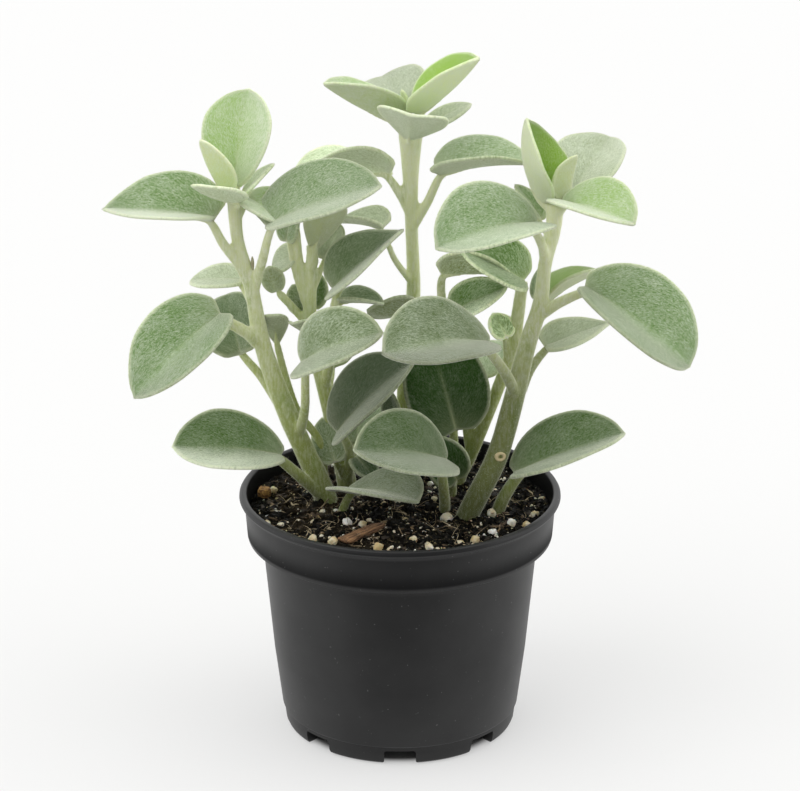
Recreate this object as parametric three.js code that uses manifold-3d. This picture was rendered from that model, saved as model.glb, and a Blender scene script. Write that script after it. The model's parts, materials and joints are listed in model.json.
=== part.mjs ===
// Potted peperomia: a round nursery pot filled with soil, from which leafy shoots grow.
// Millimetres, +Z up, -Y is the front. The origin lies under the pot's centre, on the
// surface that the pot stands on.

import * as THREE from "three";
import { mergeVertices } from "three/addons/utils/BufferGeometryUtils.js";
import Module from "manifold-3d";

const wasm = await Module();
wasm.setup();

// Pot
const rimRadius = 54;
const rimHeight = 83.7;
const footRadius = 39.4;
const footHeight = 3.3;
const footInset = 34.8;
const waistRadius = 42.8;
const waistHeight = 27.4;
const shoulderRadius = 46;
const shoulderHeight = 60;
const collarRadius = 50;
const collarHeight = 65.6;
const lipHeight = 80.8;
const wallThickness = 1.4;
const floorHeight = 3.5;
const floorThickness = 1.5;
const notchCount = 8;
const notchWidth = 10.6;
const notchHeight = 4;
const drainHoleRadius = 2.8;
const drainRingRadius = 22;
const drainHoleCount = 5;
const potFacets = 40;

// Soil
const seatGap = 0.3;
const soilHeight = 78;
const soilEdgeRadius = 50;
const soilWaves = 0.7;
const holeGap = 0.55;
const holeDrop = 0.4;
const grainCount = 18;
const grainSeed = 4177;

// Bark
const chipThickness = 1.6;
const chunkThickness = 3;
const padMargin = 0.8;
const padDepth = 0.2;

// Leaves and stems
const bladeThickness = 1.9;
const smallBladeThickness = 1.5;
const rimThickness = 0.9;
const leafWidthRatio = 0.9;
const leafFold = 28;
const leafArch = 20;
const stalkRadius = 1.6;
const smallStalkRadius = 1.1;
const smallLeafLength = 22;

const looks = {
  pot: { color: 0x2b2b2c, roughness: 0.62, metalness: 0 },
  soil: { color: 0x2c231c, roughness: 0.95, metalness: 0 },
  bark: { color: 0x6b4630, roughness: 0.9, metalness: 0 },
  leaf: { color: 0x8fae86, roughness: 0.85, metalness: 0 },
};

const vector = (list) => new THREE.Vector3(...list);
const mix = THREE.MathUtils.lerp;
const radians = THREE.MathUtils.degToRad;

// Repeatable draws between 0 and 1
function makeDraw(seed) {
  let state = seed;
  return () => {
    state = (state * 16807) % 2147483647;
    return state / 2147483647;
  };
}

// Solids

function solidOf(geometry) {
  const bare = geometry.clone();
  bare.deleteAttribute("normal");
  bare.deleteAttribute("uv");
  const merged = mergeVertices(bare, 1e-4);
  const corners = merged.index.array;
  const kept = [];
  for (let i = 0; i < corners.length; i += 3) {
    const [a, b, c] = corners.slice(i, i + 3);
    // A triangle that closed up at a pole has no area
    if (a !== b && b !== c && c !== a) kept.push(a, b, c);
  }
  const mesh = new wasm.Mesh({
    numProp: 3,
    vertProperties: new Float32Array(merged.attributes.position.array),
    triVerts: new Uint32Array(kept),
  });
  return new wasm.Manifold(mesh);
}

function join(solids) {
  return solids.reduce((whole, next) => whole.add(next));
}

function meshOf(name, solid, look) {
  const made = solid.getMesh();
  const places = new Float32Array(made.numVert * 3);
  for (let i = 0; i < made.numVert; i += 1) {
    const first = i * made.numProp;
    places.set(made.vertProperties.subarray(first, first + 3), i * 3);
  }
  const geometry = new THREE.BufferGeometry();
  geometry.setAttribute("position", new THREE.BufferAttribute(places, 3));
  geometry.setIndex(new THREE.BufferAttribute(made.triVerts, 1));
  geometry.computeVertexNormals();
  const mesh = new THREE.Mesh(geometry, new THREE.MeshStandardMaterial(look));
  mesh.name = name;
  return mesh;
}

function geometryFrom(places, corners) {
  const geometry = new THREE.BufferGeometry();
  const flat = places.flatMap((p) => [p.x, p.y, p.z]);
  geometry.setAttribute("position", new THREE.Float32BufferAttribute(flat, 3));
  geometry.setIndex(corners);
  return geometry;
}

// A solid of revolution about the pot's axis. LatheGeometry turns about Y, so it is laid over.
function turnedGeometry(profile) {
  const outline = profile.map(([radius, height]) => new THREE.Vector2(radius, height));
  return new THREE.LatheGeometry(outline, potFacets).rotateX(Math.PI / 2);
}

function block(centre, size, turn = 0) {
  const geometry = new THREE.BoxGeometry(...size).rotateZ(turn).translate(...centre);
  return solidOf(geometry);
}

function rod(centre, radius, length) {
  const geometry = new THREE.CylinderGeometry(radius, radius, length, 12).rotateX(Math.PI / 2);
  return solidOf(geometry.translate(...centre));
}

// A closed tube along a path. Its radii are spread evenly along it.
function tube(path, radii, sides, steps) {
  const curve = new THREE.CatmullRomCurve3(path.map(vector), false, "centripetal");
  const frames = curve.computeFrenetFrames(steps, false);
  const places = [];
  for (let i = 0; i <= steps; i += 1) {
    const share = i / steps;
    const centre = curve.getPointAt(share);
    const along = share * (radii.length - 1);
    const low = Math.min(Math.floor(along), radii.length - 2);
    const radius = mix(radii[low], radii[low + 1], along - low);
    for (let k = 0; k < sides; k += 1) {
      const turn = (k / sides) * 2 * Math.PI;
      places.push(
        centre
          .clone()
          .addScaledVector(frames.normals[i], radius * Math.cos(turn))
          .addScaledVector(frames.binormals[i], radius * Math.sin(turn)),
      );
    }
  }
  const corners = [];
  for (let i = 0; i < steps; i += 1) {
    for (let k = 0; k < sides; k += 1) {
      const a = i * sides + k;
      const b = i * sides + ((k + 1) % sides);
      corners.push(a, b, b + sides, a, b + sides, a + sides);
    }
  }
  const last = steps * sides;
  for (let k = 1; k < sides - 1; k += 1) {
    corners.push(0, k + 1, k);
    corners.push(last, last + k, last + k + 1);
  }
  return solidOf(geometryFrom(places, corners));
}

// Leaf blade: heart-shaped, folded up along its midrib and arched from base to tip.
// Each row gives its share of the length, its share of the half width, and how far its
// edges sweep back behind it, as a share of the length.
const broadRows = [
  [0.06, 0.46, 0.06],
  [0.19, 0.84, 0.06],
  [0.4, 1, 0.03],
  [0.64, 0.87, 0],
  [0.85, 0.5, 0],
];
const broadAcross = [-1, -0.5, 0, 0.5, 1];
const smallRows = [
  [0.12, 0.66, 0.06],
  [0.42, 1, 0.03],
  [0.76, 0.7, 0],
];
const smallAcross = [-1, 0, 1];

function bladeFrame(leaf) {
  const base = vector(leaf.base);
  const chord = vector(leaf.tip).sub(base);
  const length = chord.length();
  const along = chord.clone().normalize();
  const face = vector(leaf.face);
  face.addScaledVector(along, -face.dot(along)).normalize();
  const side = along.clone().cross(face);
  return { base, length, along, face, side, small: length < smallLeafLength };
}

function blade(leaf) {
  const { base, length, along, face, side, small } = bladeFrame(leaf);
  const rows = small ? smallRows : broadRows;
  const across = small ? smallAcross : broadAcross;
  const halfWidth = 0.5 * length * (leaf.wide ?? leafWidthRatio);
  const fold = radians(leaf.fold ?? leafFold);
  const arch = radians(leaf.arch ?? leafArch);
  const bend = length / (2 * Math.sin(arch / 2));
  const thick = small ? smallBladeThickness : bladeThickness;

  // The point at a share of the length and of the half width, raised or lowered by half the thickness
  function spot(share, width, sweep, q, lift) {
    const sweptShare = share - sweep * Math.abs(q) ** 1.6;
    const lean = arch * (0.5 - sweptShare);
    const foldHere = fold * mix(1.1, 0.8, share);
    const wedge = share ** (leaf.neck ?? 0) * (1 - share) ** (leaf.taper ?? 0);
    const out = halfWidth * width * wedge * q;
    const normal = face.clone().multiplyScalar(Math.cos(lean)).addScaledVector(along, -Math.sin(lean));
    const outward = normal
      .clone()
      .multiplyScalar(Math.cos(foldHere * Math.sign(q)))
      .addScaledVector(side, -Math.sin(foldHere * Math.sign(q)));
    const here = mix(thick, rimThickness, q * q) / 2;
    return base
      .clone()
      .addScaledVector(along, bend * (Math.sin(arch / 2) - Math.sin(lean)))
      .addScaledVector(face, bend * (Math.cos(lean) - Math.cos(arch / 2)))
      .addScaledVector(side, out * Math.cos(foldHere))
      .addScaledVector(normal, Math.abs(out) * Math.sin(foldHere))
      .addScaledVector(outward, here * lift);
  }

  const places = [];
  for (const lift of [1, -1]) {
    places.push(spot(0, 0, 0, 0, lift));
    for (const [share, width, sweep] of rows) {
      for (const q of across) places.push(spot(share, width, sweep, q, lift));
    }
    places.push(spot(1, 0, 0, 0, lift));
  }
  const count = across.length;
  const half = places.length / 2;
  const tip = half - 1;
  const cell = (row, column) => 1 + row * count + column;
  const upper = [];
  const lastRow = rows.length - 1;
  for (let j = 0; j < count - 1; j += 1) {
    upper.push([0, cell(0, j), cell(0, j + 1)]);
    upper.push([tip, cell(lastRow, j + 1), cell(lastRow, j)]);
    for (let i = 0; i < lastRow; i += 1) {
      upper.push([cell(i, j), cell(i + 1, j), cell(i + 1, j + 1)]);
      upper.push([cell(i, j), cell(i + 1, j + 1), cell(i, j + 1)]);
    }
  }
  const edge = [0];
  for (let i = 0; i <= lastRow; i += 1) edge.push(cell(i, count - 1));
  edge.push(tip);
  for (let i = lastRow; i >= 0; i -= 1) edge.push(cell(i, 0));
  const corners = [];
  for (const [a, b, c] of upper) {
    corners.push(a, c, b);
    corners.push(a + half, b + half, c + half);
  }
  edge.forEach((a, i) => {
    const b = edge[(i + 1) % edge.length];
    corners.push(a, b + half, b, a, a + half, b + half);
  });
  return solidOf(geometryFrom(places, corners));
}

// The stalk runs from the stem into the underside of the blade
function stalkTube(leaf, extra = 0) {
  const { base, length, along, face, small } = bladeFrame(leaf);
  const seat = base.clone().addScaledVector(along, 0.05 * length).addScaledVector(face, 0.1);
  const radius = leaf.radius ?? (small ? smallStalkRadius : stalkRadius);
  const radii = [radius * 1.1, radius, radius * 0.85].map((r) => r + extra);
  return tube([...leaf.stalk, seat.toArray()], radii, 5, small ? 2 : 4);
}

function stemTube(stem, extra = 0) {
  return tube(stem.path, stem.radii.map((r) => r + extra), stem.sides ?? 7, stem.steps);
}

function shootSolid(shoot) {
  const stems = (shoot.stems ?? []).map((stem) => stemTube(stem));
  return join([...stems, ...shoot.leaves.flatMap((leaf) => [blade(leaf), stalkTube(leaf)])]);
}

// What a shoot's foot leaves open in the soil: its own tube, wider and a little lower
function footHole(shoot) {
  const foot = shoot.stems ? stemTube(shoot.stems[0], holeGap) : stalkTube(shoot.leaves[0], holeGap);
  return foot.translate(0, 0, -holeDrop);
}

// Shoots. A leaf's stalk lists the points from the stem to the blade, base and tip are the ends
// of its midrib, and face is the way its upper side looks. Angles are in degrees.
const shoots = {
  left_shoot: {
    stems: [
      {
        path: [[-23, 4, 62], [-25, 4, 78], [-32.5, 3, 97.5], [-37.5, 2, 110], [-45.5, 1, 135], [-49, 0, 156],
          [-53, 0, 171.5], [-54, 0, 186]],
        radii: [4.2, 3.9, 3.5, 3.4, 3.3, 2.6, 2.2, 2.4],
        steps: 12,
      },
    ],
    leaves: [
      { stalk: [[-54, 0, 184]], base: [-53.5, 3, 190], tip: [-49, 12, 219], face: [-0.4, -0.85, 0.3],
        wide: 1.1, fold: 22, neck: 0.4 },
      { stalk: [[-54.5, 0, 184]], base: [-57.5, -1, 190.5], tip: [-64.5, -4, 207], face: [0.9, 0.1, 0.5],
        fold: 30, wide: 0.75, arch: -25 },
      { stalk: [[-54.5, 0, 182]], base: [-56.5, -2, 187], tip: [-61.5, -22, 195.5], face: [0.2, 0.3, 0.9],
        fold: 12, wide: 0.8 },
      { stalk: [[-53.5, 0, 183]], base: [-51, 1, 188], tip: [-42, 4, 197], face: [-0.7, -0.2, 0.7],
        fold: 10, wide: 0.7 },
      { stalk: [[-53.5, 0, 177]], base: [-51.5, 6, 181], tip: [-36, 12, 180.5], face: [0.3, -0.7, 0.7], fold: 10 },
      { stalk: [[-50, 0, 157], [-52.5, -1, 163], [-57.5, -3, 171]], base: [-60.5, -2, 178.5],
        tip: [-96, -8, 182.5], face: [0.1, -0.3, 0.95], fold: 32, arch: 25, wide: 1, taper: 0.15 },
      { stalk: [[-48, 0, 154], [-45, -3, 165]], base: [-43, -6, 178], tip: [-6, -14, 194],
        face: [-0.4, -0.3, 0.85], fold: 20, wide: 0.84 },
      { stalk: [[-48.5, 1, 150]], base: [-52, 8, 154], tip: [-70.5, 26, 147.5], face: [0.2, 0.5, 0.9],
        fold: 20, wide: 0.7 },
      { stalk: [[-47, 0, 136], [-50.5, -3, 140.5]], base: [-59, -4, 147], tip: [-86.5, -20, 123.5],
        face: [-0.35, -0.7, 0.65], fold: 33, wide: 0.9, arch: 35, neck: 0.1, radius: 2 },
      { stalk: [[-42, 3, 115], [-47.5, 7, 123]], base: [-53, 8, 130.5], tip: [-66, 30, 142],
        face: [-0.35, -0.6, 0.75], fold: 30, wide: 0.8 },
      { stalk: [[-25.5, 3, 79.5], [-28, 1, 82.5], [-34, -3, 90]], base: [-40, -6, 98], tip: [-75, -14, 104],
        face: [0.2, -0.2, 0.95], fold: 26, arch: -16, radius: 1.7 },
      { stalk: [[-33.5, 1, 104], [-31.5, -8, 115]], base: [-29.5, -16, 134], tip: [-5.5, -26, 148],
        face: [-0.5, -0.55, 0.65], fold: 34, arch: 40 },
      { stalk: [[-25.5, 5, 84], [-27, 9, 97], [-34.5, 10, 108]], base: [-43, 10, 131], tip: [-42, 4, 147],
        face: [0, 0.95, 0.3], fold: 20, wide: 0.6, radius: 1.4 },
    ],
  },
  middle_shoot: {
    stems: [
      {
        path: [[-17, 15, 62], [-18, 15, 79], [-23.5, 14, 106.5], [-30.5, 12, 140], [-31.5, 12, 152], [-34.5, 12, 174]],
        radii: [3.6, 3.4, 3, 2.8, 2.2, 1.8],
        steps: 9,
      },
      { path: [[-31.5, 12, 150], [-29.5, 12, 159], [-29, 12, 165]], radii: [2, 2, 1.9], steps: 3 },
    ],
    leaves: [
      { stalk: [[-29, 12, 162]], base: [-28.5, 12, 168], tip: [-24, 4, 183], face: [-0.1, 0.85, 0.45], fold: 16 },
      { stalk: [[-34, 12, 160]], base: [-35, 13, 163], tip: [-41.5, 18, 171], face: [-0.3, -0.5, 0.8], fold: 10 },
      { stalk: [[-34.5, 12, 172]], base: [-34, 13, 177], tip: [-27, 16, 185], face: [-0.4, -0.6, 0.6], fold: 14 },
      { stalk: [[-31, 12, 140], [-37, 13, 147]], base: [-41.5, 14, 152.5], tip: [-45, 9, 163],
        face: [-0.2, 0.85, 0.4], fold: 12 },
      { stalk: [[-33, 12, 155]], base: [-34, 14, 159], tip: [-42, 22, 156], face: [-0.3, -0.4, 0.9], fold: 15 },
      { stalk: [[-31, 12, 141]], base: [-32.5, 14, 145], tip: [-37.5, 20, 149], face: [-0.2, -0.6, 0.7], fold: 10 },
      { stalk: [[-31, 12, 142]], base: [-29.5, 14, 146], tip: [-26, 24, 152.5], face: [0.2, -0.6, 0.7], fold: 10 },
      { stalk: [[-29, 12, 132]], base: [-27.5, 8, 135], tip: [-36, -4, 145], face: [0.3, 0.6, 0.7], fold: 20 },
      { stalk: [[-26, 13, 122], [-23, 6, 142]], base: [-21.4, 4, 152.5], tip: [0.5, -4, 175.5],
        face: [-0.5, 0.5, 0.7], fold: 22, wide: 0.75 },
      { stalk: [[-26, 12, 128], [-22, 9, 144]], base: [-20, 8, 150], tip: [-6, 4, 151.5], face: [0.2, 0, 0.95],
        fold: 20 },
      { stalk: [[-18, 14, 80], [-17.5, 11, 85], [-17, 6, 95]], base: [-20.5, -2, 104.5], tip: [4.5, -6, 131],
        face: [-0.7, -0.3, 0.65], fold: 20 },
      { stalk: [[-18.5, 14, 80.5]], base: [-20.5, 11, 86.5], tip: [-23.5, 4, 98], face: [-0.7, 0.3, 0.3], fold: 10,
        wide: 0.55 },
      { stalk: [[-18, 13, 88]], base: [-15, 8, 92], tip: [-8.5, 2, 86], face: [0.3, -0.5, 0.8], fold: 8,
        wide: 0.9 },
      { stalk: [[-24, 15, 108], [-24, 19, 114]], base: [-23, 25, 118], tip: [-28, 48, 122], face: [0, 0.3, 0.95] },
      { stalk: [[-18.5, 16, 80], [-16, 20, 86]], base: [-15, 25, 90], tip: [-12, 48, 100], face: [0, 0.1, 0.95] },
    ],
  },
  centre_shoot: {
    stems: [
      {
        path: [[5, 24, 62], [3, 24, 80], [1.5, 24, 106.5], [4.5, 23, 146], [4, 22, 165], [3.5, 21, 186], [3.5, 20, 204]],
        radii: [3, 2.9, 2.7, 2.4, 2.2, 2.4, 3.2],
        steps: 11,
      },
    ],
    leaves: [
      { stalk: [[3, 20, 202]], base: [0.5, 18, 208.5], tip: [-24.5, 8, 222.5], face: [0.4, 0.2, 0.9], fold: 26,
        wide: 0.75, arch: -15 },
      { stalk: [[3.5, 20, 202]], base: [0, 24, 209.5], tip: [-4.5, 46, 216.5], face: [-0.2, -0.5, 0.85], fold: 20 },
      { stalk: [[4, 20, 202]], base: [5, 16, 210], tip: [25.5, 10, 230.5], face: [-0.7, 0, 0.7], fold: 28,
        wide: 0.82, arch: -20 },
      { stalk: [[4, 20, 200]], base: [4.5, 17, 203], tip: [5, -6, 213], face: [0.2, 0.35, 0.9], fold: 10 },
      { stalk: [[4, 20, 200]], base: [9, 22, 203], tip: [23.5, 28, 209.5], face: [-0.3, -0.4, 0.9], fold: 10,
        wide: 0.55 },
      { stalk: [[3.5, 20, 200]], base: [2.5, 18, 209], tip: [1.5, 18, 217], face: [0.7, -0.6, 0], fold: 10, wide: 0.4 },
      { stalk: [[3.5, 21, 174], [0, 20, 181]], base: [-3.5, 20, 187.5], tip: [-35, 34, 188.5],
        face: [0.1, 0.2, 0.95], fold: 20 },
      { stalk: [[6, 21, 171], [10, 20, 180]], base: [12.5, 18, 189], tip: [43, 14, 195.5], face: [-0.1, 0.5, 0.8] },
      { stalk: [[3.5, 22, 150], [-2, 16, 160]], base: [-5.5, 12, 172], tip: [-20.5, 21, 171],
        face: [-0.1, -0.2, 0.95], wide: 0.85 },
      { stalk: [[4, 22, 138]], base: [3, 20, 142.5], tip: [-11, 14, 145.5], face: [0.1, 0.7, 0.6], fold: 10,
        wide: 1 },
      { stalk: [[2, 23, 92], [1, 18, 95]], base: [0.5, 14, 99.5], tip: [-2.5, 8, 115], face: [-0.6, -0.6, 0.2],
        fold: 12, wide: 0.7 },
      { stalk: [[2, 25, 108], [4, 28, 113]], base: [6, 31, 118], tip: [14, 53, 128], face: [0, 0.2, 0.95] },
      { stalk: [[3, 25, 84], [5, 28, 88]], base: [6, 31, 91], tip: [9, 50, 102], face: [0, 0, 1], wide: 0.8 },
    ],
  },
  right_shoot: {
    stems: [
      {
        path: [[17, -11, 62], [22.5, -10, 78], [32, -8, 98], [37, -6, 115.5], [42, -4, 137], [46, -2, 150],
          [47.5, -1, 164], [50, 0, 175], [50.5, 0, 184]],
        radii: [4, 3.8, 3.7, 3.5, 3, 2.6, 2.3, 2.6, 3],
        steps: 13,
      },
    ],
    leaves: [
      { stalk: [[50.5, 0, 181]], base: [49.5, 0, 184.5], tip: [41, 3, 211.5], face: [0.9, -0.3, 0.3], fold: 30,
        arch: -35 },
      { stalk: [[51, 0, 182]], base: [54, -1, 187], tip: [58.5, 2, 199.5], face: [-0.9, 0.2, 0.3] },
      { stalk: [[51, 1, 181]], base: [56.5, 9, 183.5], tip: [70, 32, 197], face: [-0.2, -0.6, 0.75] },
      { stalk: [[51, 0, 180]], base: [52.5, -4, 184.5], tip: [74.5, -26, 185], face: [0.1, -0.5, 0.85], fold: 34,
        wide: 0.9, neck: 0.2 },
      { stalk: [[47.5, -1, 164], [46, -6, 172]], base: [44.5, -8, 177.5], tip: [11.5, -30, 178],
        face: [0.1, -0.5, 0.85], fold: 36, wide: 1.02, arch: 40, neck: 0.25 },
      { stalk: [[49, 0, 172]], base: [46, 6, 176], tip: [39.5, 12, 183], face: [-0.5, -0.4, 0.7], fold: 10 },
      { stalk: [[48, 0, 170]], base: [44, 8, 172], tip: [35, 18, 175], face: [0, -0.5, 0.8], fold: 10, wide: 0.8 },
      { stalk: [[47, -2, 147], [53, -5, 152]], base: [60.5, -6, 157], tip: [94.5, -14, 132.5],
        face: [0.3, -0.7, 0.65], fold: 38, wide: 0.9, arch: 35, neck: 0.18, radius: 1.8 },
      { stalk: [[46, -1, 148]], base: [49, 6, 151.5], tip: [66.5, 14, 156], face: [-0.3, 0.1, 0.95], fold: 20 },
      { stalk: [[45.5, -1, 146]], base: [45, 3, 151], tip: [47, 12, 158.5], face: [-0.7, -0.2, 0.5], fold: 10,
        wide: 0.5 },
      { stalk: [[40, -4, 120], [43.5, 2, 126]], base: [49.5, 8, 132], tip: [71.5, 24, 135], face: [-0.2, 0.1, 0.95] },
      { stalk: [[38.5, -6, 119], [34, -14, 131]], base: [30.5, -20, 142.5], tip: [-5.5, -38, 145.5],
        face: [0.2, -0.5, 0.8], fold: 34, wide: 1.02, arch: 40, neck: 0.25, radius: 1.8 },
    ],
  },
  right_back_shoot: {
    stems: [
      {
        path: [[19, 21, 62], [20, 20, 78], [24.5, 19, 89], [33.5, 16, 115], [38, 13, 130.5], [39, 12, 139], [40.5, 9, 154]],
        radii: [2.3, 2.2, 2.1, 2, 1.8, 1.7],
        steps: 8,
        sides: 6,
      },
    ],
    leaves: [
      { stalk: [[40, 10, 150]], base: [40.5, 7, 156], tip: [20, 2, 167.5], face: [0.3, -0.3, 0.9] },
      { stalk: [[24, 19, 90], [18, 18, 134], [14, 14, 146]], base: [13.5, 10, 157], tip: [37, 6, 157],
        face: [0.2, 0.3, 0.9], fold: 34 },
      { stalk: [[18.2, 18, 131]], base: [18.5, 13, 142.5], tip: [35.5, 7, 153], face: [-0.4, -0.9, 0.1], fold: 14,
        wide: 0.55 },
      { stalk: [[36, 14, 124]], base: [34.5, 10, 134.5], tip: [30.5, 14, 141], face: [0.2, -0.7, 0.6], wide: 1 },
      { stalk: [[29, 18, 102], [29, 22, 108]], base: [28, 27, 113], tip: [28, 50, 118], face: [0, 0.1, 0.95] },
    ],
  },
  front_low_leaf: {
    leaves: [
      { stalk: [[14, -3, 64], [15, -4, 77], [14.5, -10, 88]], base: [15.5, -14, 97.5], tip: [-15, -34, 111],
        face: [0.6, -0.4, 0.65], fold: 34, wide: 0.96, arch: 32, neck: 0.25, radius: 1.7 },
    ],
  },
  front_left_low_leaf: {
    leaves: [
      { stalk: [[-19, -6, 66], [-20, -6, 77]], base: [-19, -3, 83], tip: [5.5, -23, 88.5], face: [0.1, -0.5, 0.85],
        fold: 20, wide: 0.8 },
    ],
  },
  inner_low_leaves: {
    leaves: [
      { stalk: [[17, 11, 64], [17.5, 10, 80], [18, 8, 93]], base: [19, 4, 103.5], tip: [8.5, 12, 137],
        face: [0.2, -0.9, 0.35], fold: 14, wide: 0.85, radius: 1.7 },
      { stalk: [[17.5, 10, 80.5]], base: [19, 3, 86], tip: [9.5, -1, 103], face: [0.3, -0.9, 0.1], fold: 12,
        wide: 0.75 },
    ],
  },
  right_low_leaf: {
    leaves: [
      { stalk: [[31, -3, 64], [33, -5, 78], [36, -7, 86]], base: [38.5, -8, 92.5], tip: [74, -14, 109],
        face: [-0.45, -0.15, 0.9], fold: 28, arch: -10, radius: 1.7 },
    ],
  },
};

// Pot: the profile runs from the underside out, up the outside, over the lip and down the inside
function potSolid() {
  const inner = (radius) => radius - wallThickness;
  const profile = [
    [0, floorHeight],
    [footInset - 0.3, floorHeight],
    [footInset, 0],
    [footRadius - 2.2, 0],
    [footRadius - 0.6, 0.9],
    [footRadius, footHeight],
    [waistRadius, waistHeight],
    [shoulderRadius, shoulderHeight],
    [shoulderRadius + 1.6, shoulderHeight + 2.6],
    [collarRadius, collarHeight],
    [collarRadius + 1.2, collarHeight + 2.4],
    [rimRadius - 1.7, lipHeight],
    [rimRadius, lipHeight + 1.1],
    [rimRadius - 0.2, rimHeight - 0.6],
    [rimRadius - 1.3, rimHeight],
    [rimRadius - 2.5, rimHeight - 0.5],
    [rimRadius - 3.4, lipHeight - 1.8],
    [inner(collarRadius + 1.2), collarHeight + 3],
    [inner(shoulderRadius + 1.6), shoulderHeight + 3.4],
    [inner(shoulderRadius), shoulderHeight + 0.5],
    [inner(waistRadius), waistHeight],
    [footRadius - wallThickness, floorHeight + floorThickness],
    [0, floorHeight + floorThickness],
  ];
  const body = solidOf(turnedGeometry(profile));
  const cuts = [];
  const notchMiddle = (footInset - 2 + footRadius + 6) / 2;
  for (let i = 0; i < notchCount; i += 1) {
    const turn = (i / notchCount) * 2 * Math.PI;
    const centre = [notchMiddle * Math.cos(turn), notchMiddle * Math.sin(turn), notchHeight / 2 - 0.5];
    cuts.push(block(centre, [footRadius - footInset + 8, notchWidth, notchHeight + 1], turn));
  }
  const holeCentre = floorHeight + floorThickness / 2;
  cuts.push(rod([0, 0, holeCentre], drainHoleRadius, 3 * floorThickness));
  for (let i = 0; i < drainHoleCount; i += 1) {
    const turn = ((i + 0.5) / drainHoleCount) * 2 * Math.PI;
    const place = [drainRingRadius * Math.cos(turn), drainRingRadius * Math.sin(turn), holeCentre];
    cuts.push(rod(place, drainHoleRadius, 3 * floorThickness));
  }
  return body.subtract(join(cuts));
}

// Bark that lies loose on the soil: outlines in the plane of the soil and the height of its seat
const bark = {
  bark_chip: {
    outline: [[-20.5, -31.5], [-17, -34.5], [-12.2, -29], [-6.2, -22.6], [-4.8, -19.4], [-7.2, -18.6], [-13.6, -24.6]],
    thickness: chipThickness,
  },
  bark_chunk: {
    outline: [[-48.2, 5.4], [-45.2, 4.7], [-43.6, 6.8], [-44.8, 9.2], [-47.4, 8.8]],
    thickness: chunkThickness,
  },
};
const padTop = soilHeight - padDepth;

function slab(outline, grow, low, high) {
  const middle = outline
    .reduce((sum, [x, y]) => sum.add(new THREE.Vector2(x, y)), new THREE.Vector2())
    .divideScalar(outline.length);
  const corners = outline.map(([x, y]) => {
    const corner = new THREE.Vector2(x, y);
    const away = corner.clone().sub(middle);
    return corner.addScaledVector(away.normalize(), grow);
  });
  const shape = new THREE.Shape(corners);
  const geometry = new THREE.ExtrudeGeometry(shape, { depth: high - low, bevelEnabled: false, steps: 1 });
  return solidOf(geometry.translate(0, 0, low));
}

// Soil: fills the pot a seat gap away from its wall. Its top waves a little and holds pale grains.
function wave(x, y) {
  return soilWaves * 0.5 * (Math.sin(0.24 * x + 0.6) + Math.cos(0.27 * y - 0.05 * x));
}

// Places of the larger grains that show at the front, with the radius of each
const frontGrains = [
  [15.5, -11.5, 2], [-17.5, -16, 1.6], [-12.5, -16.5, 1.4], [-43, 11, 1.3], [-44, -16, 1.2], [-22, -33.5, 1.4],
  [-7, -38.5, 1.5], [30.5, -9.5, 1.5], [45, -9, 1.3], [42, -18.5, 1.3], [30.5, -24.5, 1.4], [37, -17.5, 1.5],
  [11.5, 3, 1.2], [-28.5, -31, 1.4], [24.5, -31, 1.4], [9.5, -37.5, 1.3], [4.5, -31, 1.2],
];

function grain(x, y, radius, draw) {
  const geometry = new THREE.OctahedronGeometry(radius);
  geometry.rotateX(draw() * 3).rotateZ(draw() * 3);
  geometry.scale(0.8 + 0.5 * draw(), 0.8 + 0.4 * draw(), 0.75);
  return solidOf(geometry.translate(x, y, soilHeight + wave(x, y) + 0.15 * radius));
}

function soilSolid() {
  const innerRadius = (radius) => radius - wallThickness - seatGap;
  const profile = [
    [0, floorHeight + floorThickness + seatGap],
    [footRadius - wallThickness - seatGap, floorHeight + floorThickness + seatGap],
    [innerRadius(waistRadius), waistHeight],
    [innerRadius(shoulderRadius), shoulderHeight + 0.5],
    [innerRadius(shoulderRadius + 1.6) - 0.05, shoulderHeight + 3.6],
    [innerRadius(collarRadius + 1.2) - 0.05, collarHeight + 3.3],
    [soilEdgeRadius, soilHeight - 1],
    [soilEdgeRadius - 3, soilHeight],
    [soilEdgeRadius - 12, soilHeight],
    [soilEdgeRadius - 22, soilHeight],
    [soilEdgeRadius - 34, soilHeight],
    [0, soilHeight],
  ];
  const geometry = turnedGeometry(profile);
  const places = geometry.attributes.position;
  for (let i = 0; i < places.count; i += 1) {
    const [x, y, z] = [places.getX(i), places.getY(i), places.getZ(i)];
    if (z > soilHeight - 0.5) places.setZ(i, z + wave(x, y));
  }
  const draw = makeDraw(grainSeed);
  const grains = frontGrains.map(([x, y, radius]) => grain(x, y, radius, draw));
  for (let i = 0; i < grainCount; i += 1) {
    const reach = (soilEdgeRadius - 4) * Math.sqrt(draw());
    const turn = 2 * Math.PI * draw();
    grains.push(grain(reach * Math.cos(turn), reach * Math.sin(turn), 0.9 + draw(), draw));
  }
  let soil = join([solidOf(geometry), ...grains]);
  for (const piece of Object.values(bark)) {
    soil = soil.subtract(slab(piece.outline, padMargin, padTop, padTop + piece.thickness + 3));
    soil = soil.add(slab(piece.outline, padMargin, soilHeight - 3, padTop));
  }
  soil = soil.subtract(join(Object.values(shoots).map(footHole)));
  // The cuts can leave a crumb of a grain, which is dropped
  return soil.decompose().reduce((most, body) => (body.volume() > most.volume() ? body : most));
}

const plant = new THREE.Group();
plant.add(meshOf("pot", potSolid(), looks.pot));
plant.add(meshOf("soil", soilSolid(), looks.soil));
for (const [name, piece] of Object.entries(bark)) {
  const low = padTop + seatGap;
  plant.add(meshOf(name, slab(piece.outline, 0, low, low + piece.thickness), looks.bark));
}
for (const [name, shoot] of Object.entries(shoots)) {
  plant.add(meshOf(name, shootSolid(shoot), looks.leaf));
}

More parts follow.
